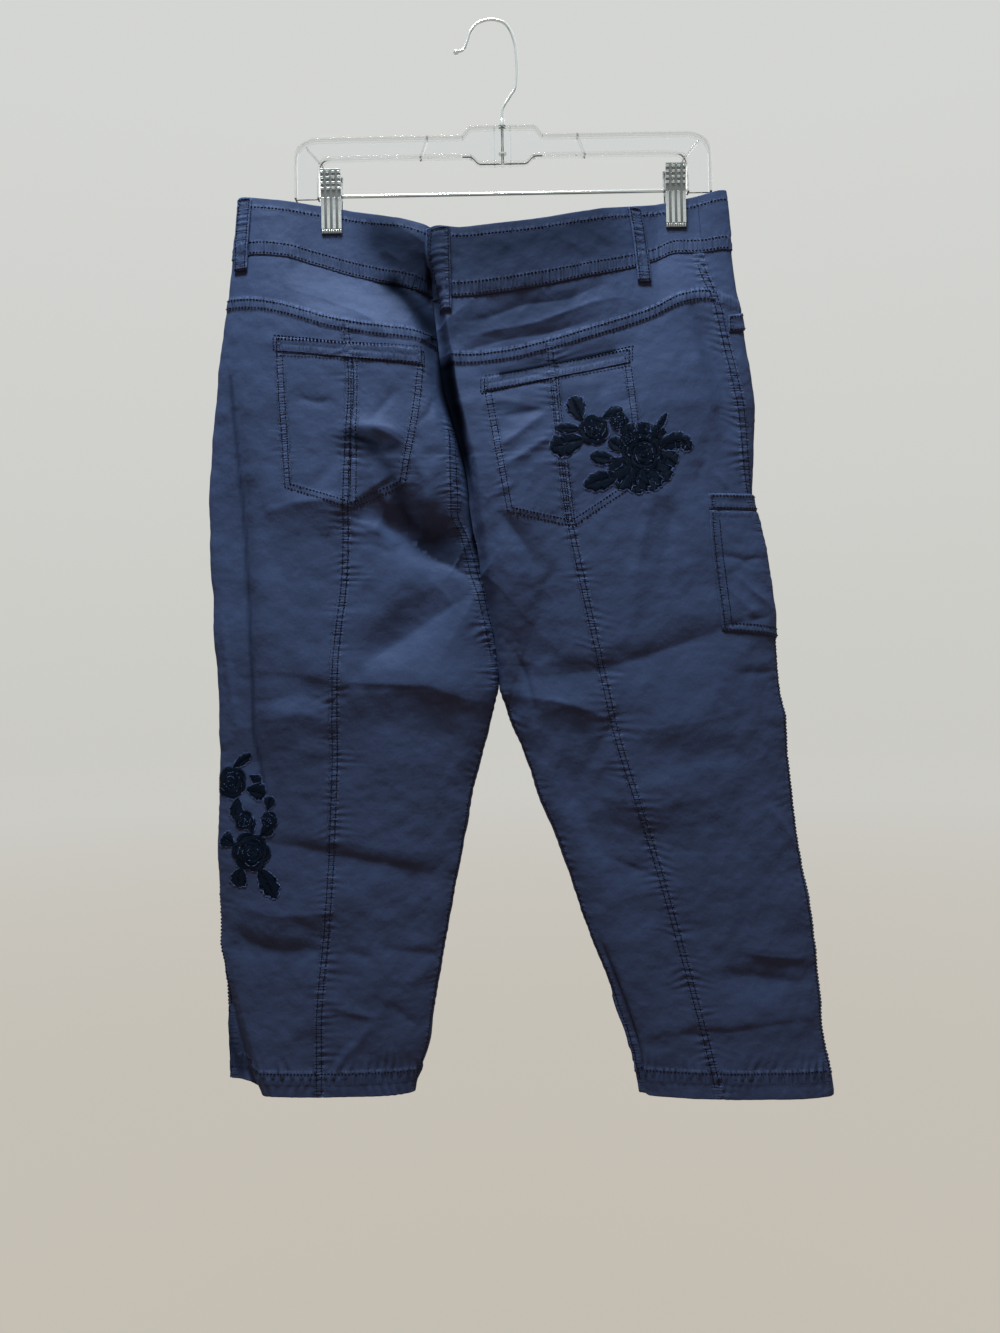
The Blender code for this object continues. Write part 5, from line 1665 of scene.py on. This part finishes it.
# The jaw's outer face: distance out and height, down its lever and down its grip, and its lip's outline
LEVER_FACE = ((9.2, -127.5), (6.1, -147.5))
GRIP_FACE = ((5.75, -150), (5.2, -154), (5.45, -166), (5.6, -176.5))
LIP = ((5.9, -176.6), (6.5, -177.6), (5.9, -179.3), (4.9, -179.3), (4.9, -176.6))
LIP_TEETH = 9
STUD_ROWS, STUD_COLUMNS, STUD_SIZE, STUD_HEIGHT = 4, 4, 2.7, 1.1
RIBS_ON_GRIP, RIB_WIDTH, RIB_HEIGHT = 4, 2.7, 1.0


def in_a_row(place, count, width):
    """The middles of a number of equal things side by side, out to the clip's two edges."""
    reach = (CLIP_WIDTH - width) / 2
    return np.linspace(place - reach, place + reach, count)


def build_jaw(side, place, layer, out):
    """One jaw of a clip: a bent plate with square studs on its lever and ribs down its grip."""
    bm = bmesh.new()
    half = CLIP_WIDTH / 2

    def add(outline, middle, width):
        prism(bm, [(out * y, z) for y, z in outline], middle - width / 2, middle + width / 2)

    add(JAW_OUTLINE, place, CLIP_WIDTH)
    for face in bm.faces:
        face.material_index = SUNK_FACE
    rib = [(y + RIB_HEIGHT, z) for y, z in GRIP_FACE] + [(y - 0.3, z) for y, z in reversed(GRIP_FACE)]
    for middle in in_a_row(place, RIBS_ON_GRIP, RIB_WIDTH):
        add(rib, middle, RIB_WIDTH)
    top, low = np.array(LEVER_FACE)
    slope = (low - top) / math.dist(low, top)
    across = np.array((-slope[1], slope[0]))
    for row in range(STUD_ROWS):
        middle = top + slope * (2.2 + 4.4 * row)
        foot, head = slope * STUD_SIZE / 2, slope * STUD_SIZE * 0.36
        stud = [middle - foot - across * 0.3, middle + foot - across * 0.3]
        stud += [middle + head + across * STUD_HEIGHT, middle - head + across * STUD_HEIGHT]
        for x in in_a_row(place, STUD_COLUMNS, STUD_SIZE):
            add(stud, x, STUD_SIZE)
    for number in range(LIP_TEETH):
        add(LIP, place - half + (number + 0.5) * CLIP_WIDTH / LIP_TEETH, 1.2)
    name = f"clip_{side}_{layer}_jaw"
    settle(softened(solid_from(f"ribbed_{name}", bm), 0.22), "plated_clip", name)


def build_coil(side, place):
    """The clip's spring: a wire wound round the rod."""
    bm = bmesh.new()
    turns, per_turn, wire = 6, 20, 0.62
    t = np.linspace(0, 1, turns * per_turn + 1)
    reach, angle = SPRING_RADIUS - wire, 2 * math.pi * turns * t
    coil = (place + (t - 0.5) * SPRING_WIDTH, reach * np.sin(angle), ROD_HEIGHT + reach * np.cos(angle))
    tube(bm, np.stack(coil, axis=1), wire, 8)
    name = f"clip_{side}_spring"
    settle(solid_from(f"wound_{name}", bm), "plated_clip", name)


class CAPRI_OT_clips(bpy.types.Operator):
    """Builds the two spring clips"""

    bl_idname = "capri.clips"
    bl_label = "Clips"

    def execute(self, context):
        for side, place in zip(OUT, CLIP_PLACES):
            for layer, out in zip(LAYERS, (-1, 1)):
                build_jaw(side, place, layer, out)
            build_coil(side, place)
        return {"FINISHED"}


# Small clear ribs across the frame's web: place from its middle and height, above and below
RIBS = (
    ((-63.5, -98.5), (-70, -116.5)), ((63.5, -98.5), (70, -116.5)),
    ((-166, -106), (-153, -121)), ((166, -106), (153, -121)),
)
# The hub's two sleeve walls: place from the frame's middle, and outline outwards and up
SLEEVE_WALLS = (-7.4, 6.2)
SLEEVE = ((1.35, -92.3), (3.6, -92.6), (3.6, -119.9), (1.35, -120.2))


def build_frame():
    """The clear frame: an I-section along smooth upper and lower edges, with ribs and a hub at its middle."""
    half = smooth_way(FRAME_HALF, 64)
    edges = [(HANGER_MIDDLE - a, b, HANGER_MIDDLE - c, d) for a, b, c, d in half[:0:-1]]
    edges += [(HANGER_MIDDLE + a, b, HANGER_MIDDLE + c, d) for a, b, c, d in half]
    out = [FRAME_HALF_DEPTH, FRAME_HALF_DEPTH, FRAME_WEB]
    out = np.array(out + out[::-1])
    bm = bmesh.new()
    rings = []
    for top_x, top_z, low_x, low_z in edges:
        flange = FRAME_FLANGE / math.hypot(top_x - low_x, top_z - low_z)
        down = np.array((0, flange, flange, 1 - flange, 1 - flange, 1))
        section = np.stack([np.append(down, down[::-1]), np.append(out, -out)], axis=1)
        rings.append(
            [bm.verts.new((top_x + (low_x - top_x) * s, y, top_z + (low_z - top_z) * s)) for s, y in section]
        )
    skin(bm, rings)
    settle(softened(solid_from("clear_hanger_frame", bm), 0.45), "frame_plastic", "hanger_frame")
    bm = bmesh.new()
    for (top_x, top_z), (low_x, low_z) in RIBS:
        corners = ((top_x - 0.6, top_z), (top_x + 0.6, top_z), (low_x + 0.6, low_z), (low_x - 0.6, low_z))
        for out in (-1, 1):
            depths = (out * (FRAME_WEB + 0.05), out * 3.9)
            skin(bm, [[bm.verts.new((HANGER_MIDDLE + x, y, z)) for x, z in corners] for y in depths])
    for out in (-1, 1):
        for wall in SLEEVE_WALLS:
            prism(bm, [(out * y, z) for y, z in SLEEVE], HANGER_MIDDLE + wall, HANGER_MIDDLE + wall + 1.2)
    settle(softened(solid_from("hanger_ribs", bm), 0.3), "frame_plastic")


# The ferrule under the hook, and the button: reach from the axis and height
FERRULE = ((0, -83.5), (2.1, -83.8), (2.4, -84.6), (2.4, -89.2), (3.1, -89.6), (3.1, -90.6), (0, -90.6))
BUTTON_PROFILE = (
    (0, 1.6), (4.6, 1.6), (5.6, 2.3), (6.4, 3.0), (7.4, 3.1), (8.2, 2.6), (8.5, 1.8), (8.1, 0.6), (7.2, 0.1),
    (0, 0.1),
)


def build_wire():
    """The hook with its nub, the ferrule with its shank and washer, and the rod."""
    across, height = smooth_way(HOOK_WAY, 110).T
    line = np.stack([across, 0 * across, height], axis=1)
    bm = bmesh.new()
    tube(bm, line, HOOK_WIRE - 0.15)
    settle(solid_from("bent_hanger_hook", bm), "bright_wire", "hanger_hook")
    bm = bmesh.new()
    bmesh.ops.create_uvsphere(bm, u_segments=20, v_segments=12, radius=HOOK_BALL)
    tip = line[-1] + unit(line[-1] - line[-2]) * (HOOK_BALL - 0.4)
    bmesh.ops.translate(bm, vec=tip, verts=bm.verts)
    settle(solid_from("round_hanger_hook_ball", bm), "bright_wire", "hanger_hook_ball")
    bm = bmesh.new()
    turned(bm, FERRULE, HANGER_MIDDLE, 24)
    tube(bm, [(HANGER_MIDDLE, 0, z) for z in (-90.5, -106, -121)], 1.1, 12)
    tube(bm, [(HANGER_MIDDLE, 0, z) for z in (-112.6, -113.3, -114)], 3.4, 20)
    cap = settle(solid_from("hook_ferrule", bm), "bright_wire")
    bm = bmesh.new()
    reach = FRAME_HALF[-1][2] - 0.3
    tube(bm, [(HANGER_MIDDLE + x, 0, ROD_HEIGHT) for x in (-reach, 0, reach)], ROD_RADIUS, 20)
    rod = settle(solid_from("straight_hanger_rod", bm), "bright_wire", "hanger_rod")
    for piece in (cap, rod):
        piece.data.set_sharp_from_angle(angle=math.radians(40))


def build_button():
    """The shank button: a turned disc with a rim and a dished middle."""
    x, height = np.array(BUTTON_PLACE)[:, None]
    spot, way = on_cloth("left", angle_at("left", "front", x, height), height, 0.6)
    bm = bmesh.new()
    turned(bm, BUTTON_PROFILE, 0, 40)
    turn = Vector(way[0]).to_track_quat("Z", "Y").to_matrix().to_4x4()
    bmesh.ops.transform(bm, matrix=Matrix.Translation(Vector(spot[0])) @ turn, verts=bm.verts)
    settle(solid_from("turned_waist_button", bm), "button_plate", "waist_button")


class CAPRI_OT_hanger(bpy.types.Operator):
    """Builds the clear frame, its wire hook and rod, and the waist button"""

    bl_idname = "capri.hanger"
    bl_label = "Hanger and Button"

    def execute(self, context):
        build_frame()
        build_wire()
        build_button()
        return {"FINISHED"}


def box_lamp(name, place, aim, size, strength, colour):
    lamp = bpy.data.lights.new(name, "AREA")
    lamp.shape = "RECTANGLE"
    lamp.size, lamp.size_y = size
    lamp.energy = strength
    lamp.color = colour
    made = into_scene(name, lamp)
    made.location = place
    made.visible_transmission = False
    made.rotation_euler = (Vector(aim) - Vector(place)).to_track_quat("-Z", "Y").to_euler()


def build_room(stage):
    """The background: its own tone to the camera, a soft fill for the cloth and a sky for the metal."""
    world = bpy.data.worlds.new("room")
    bpy.context.scene.world = world
    world.use_nodes = True
    air = Nodes(world.node_tree)
    up = air.node("ShaderNodeSeparateXYZ", None, {0: air.node("ShaderNodeTexCoord")}, 2)
    wall = air.mix(air.map_range(up, -0.06, 0.45), tint(stage.horizon), tint(stage.room))
    sky = air.map_range(up, -0.3, 0.9, 0.1, 1.1)
    ground, fill, mirrored = (
        air.node("ShaderNodeBackground", None, {"Color": tone}) for tone in (wall, tint(stage.shade), sky)
    )
    last = ground
    for rays, seen in (("Diffuse", fill), ("Glossy", mirrored), ("Transmission", ground)):
        kind = air.node("ShaderNodeLightPath", None, None, f"Is {rays} Ray")
        last = air.node("ShaderNodeMixShader", None, {0: kind, 1: last, 2: seen})
    air.join(last, air.tree.nodes["World Output"].inputs["Surface"])


class CAPRI_OT_stage(bpy.types.Operator):
    """Builds the pale floor, which glows with painted light, then the soft light and the camera"""

    bl_idname = "capri.stage"
    bl_label = "Stage"

    def execute(self, context):
        stage = context.scene.capri_stage
        bpy.ops.mesh.primitive_circle_add(vertices=96, radius=9, fill_type="NGON", location=(0, 0, -1.4))
        floor = context.object
        floor.name = "floor"
        # The floor glows with painted light instead of being lit by the lamps: darker near the middle, and
        # the horizon's tone far out.
        look = Look("pale_floor", 0.95, 0.0, dark(stage.floor, 0.02), specular_ior_level=0.0)
        reach = look.node("ShaderNodeVectorMath", {"operation": "LENGTH"}, {0: look.body()}, 1)
        far = look.map_range(reach, 0.6, 6.0)
        look.set("Emission Color", look.mix(far, tint(stage.floor), tint(stage.horizon)))
        look.set("Emission Strength", 1.0)
        floor.data.materials.append(look.material)
        floor.visible_diffuse = False
        box_lamp("key", (-0.14, -0.5, 0.85), (0.0, 0.0, -0.4), (0.5, 0.3), stage.key_light, (0.92, 0.97, 1.0))
        box_lamp("fill", (0.9, -1.6, -0.1), (0.0, 0.0, -0.5), (1.6, 1.6), stage.fill_light, (1.0, 0.85, 0.7))
        box_lamp("behind", (0.3, 1.6, 0.7), (0.0, 0.0, -0.4), (1.4, 1.4), stage.back_light, (1.0, 0.97, 0.92))
        build_room(stage)
        lens = bpy.data.cameras.new("camera")
        lens.sensor_width = 36
        lens.lens = 28.6
        camera = into_scene("camera", lens)
        camera.location = (-0.0018, -0.9, -0.5484)
        turn = Matrix.Rotation(math.radians(90), 4, "X") @ Matrix.Rotation(-math.atan(0.0187), 4, "Z")
        camera.rotation_euler = turn.to_euler()
        context.scene.camera = camera
        context.scene.view_settings.view_transform = "Standard"
        return {"FINISHED"}


class CapriSizes(bpy.types.PropertyGroup):
    cloth_fullness: FloatProperty(
        name="Cloth Fullness", description="Thickness of the cloth against the real one",
        default=1.0, min=0.7, max=1.5, subtype="FACTOR",
    )
    crease_depth: FloatProperty(
        name="Crease Depth", description="Depth of the fine creases against the photographed ones",
        default=1.0, min=0.0, max=1.5, subtype="FACTOR",
    )
    pucker_depth: FloatProperty(
        name="Pucker Depth", description="Depth of the puckers beside the seams against the real ones",
        default=1.0, min=0.0, max=1.5, subtype="FACTOR",
    )
    stitch_length: FloatProperty(
        name="Stitch Length", description="Length of one stitch",
        default=0.0024, min=0.001, max=0.006, precision=4, unit="LENGTH",
    )
    stitch_pitch: FloatProperty(
        name="Stitch Pitch", description="From the middle of one stitch to the next",
        default=0.003, min=0.002, max=0.008, precision=4, unit="LENGTH",
    )


def colour_choice(name, description, default):
    return FloatVectorProperty(name=name, description=description, subtype="COLOR", size=3, default=default)


def power_choice(name, description, default):
    return FloatProperty(name=name, description=description, unit="POWER", default=default)


class CapriColours(bpy.types.PropertyGroup):
    cloth: colour_choice("Cloth", "Dye of the twill", (0.049, 0.086, 0.19))
    thread: colour_choice("Thread", "Sewing thread", (0.005, 0.009, 0.024))
    embroidery: colour_choice("Embroidery", "Satin thread", (0.0032, 0.0105, 0.026))
    plastic: colour_choice("Plastic", "Tint of the clear frame", (0.95, 0.97, 0.98))
    metal: colour_choice("Metal", "Wire, rod and clips", (0.7, 0.76, 0.75))


class CapriStage(bpy.types.PropertyGroup):
    key_light: power_choice("Key Light", "Power of the light from above", 24.0)
    fill_light: power_choice("Fill Light", "Power of the light in front", 0.5)
    back_light: power_choice("Back Light", "Power of the light behind", 8.0)
    room: colour_choice("Room", "Background", (0.66, 0.67, 0.65))
    shade: colour_choice("Shade", "Light that fills the shadows", (0.134, 0.053, 0.036))
    horizon: colour_choice("Horizon", "Where floor and background meet", (0.6, 0.595, 0.56))
    # The floor colour is the painted glow near the middle of the floor.
    floor: colour_choice("Floor", "Plain pale floor", (0.55, 0.512, 0.448))


class CAPRI_PT_sidebar(bpy.types.Panel):
    bl_idname = "CAPRI_PT_sidebar"
    bl_label = "Capri Pants"
    bl_space_type = "VIEW_3D"
    bl_region_type = "UI"
    bl_category = "Capri"

    def draw(self, context):
        for group in (context.scene.capri_sizes, context.scene.capri_colours, context.scene.capri_stage):
            for name in group.__annotations__:
                self.layout.prop(group, name)
        for operator in OPERATORS:
            self.layout.operator(operator.bl_idname)


GROUPS = {"capri_sizes": CapriSizes, "capri_colours": CapriColours, "capri_stage": CapriStage}
OPERATORS = (
    CAPRI_OT_waist,
    CAPRI_OT_panels,
    CAPRI_OT_trims,
    CAPRI_OT_side_pocket,
    CAPRI_OT_stitches,
    CAPRI_OT_embroidery,
    CAPRI_OT_clips,
    CAPRI_OT_hanger,
    CAPRI_OT_stage,
)


def register():
    for kind in (*GROUPS.values(), *OPERATORS, CAPRI_PT_sidebar):
        bpy.utils.register_class(kind)
    for name, kind in GROUPS.items():
        setattr(bpy.types.Scene, name, PointerProperty(type=kind))


def unregister():
    for name in GROUPS:
        delattr(bpy.types.Scene, name)
    for kind in (CAPRI_PT_sidebar, *reversed(OPERATORS), *GROUPS.values()):
        bpy.utils.unregister_class(kind)


def main():
    register()
    for operator in OPERATORS:
        group, name = operator.bl_idname.split(".")
        getattr(getattr(bpy.ops, group), name)()


if __name__ == "__main__":
    main()
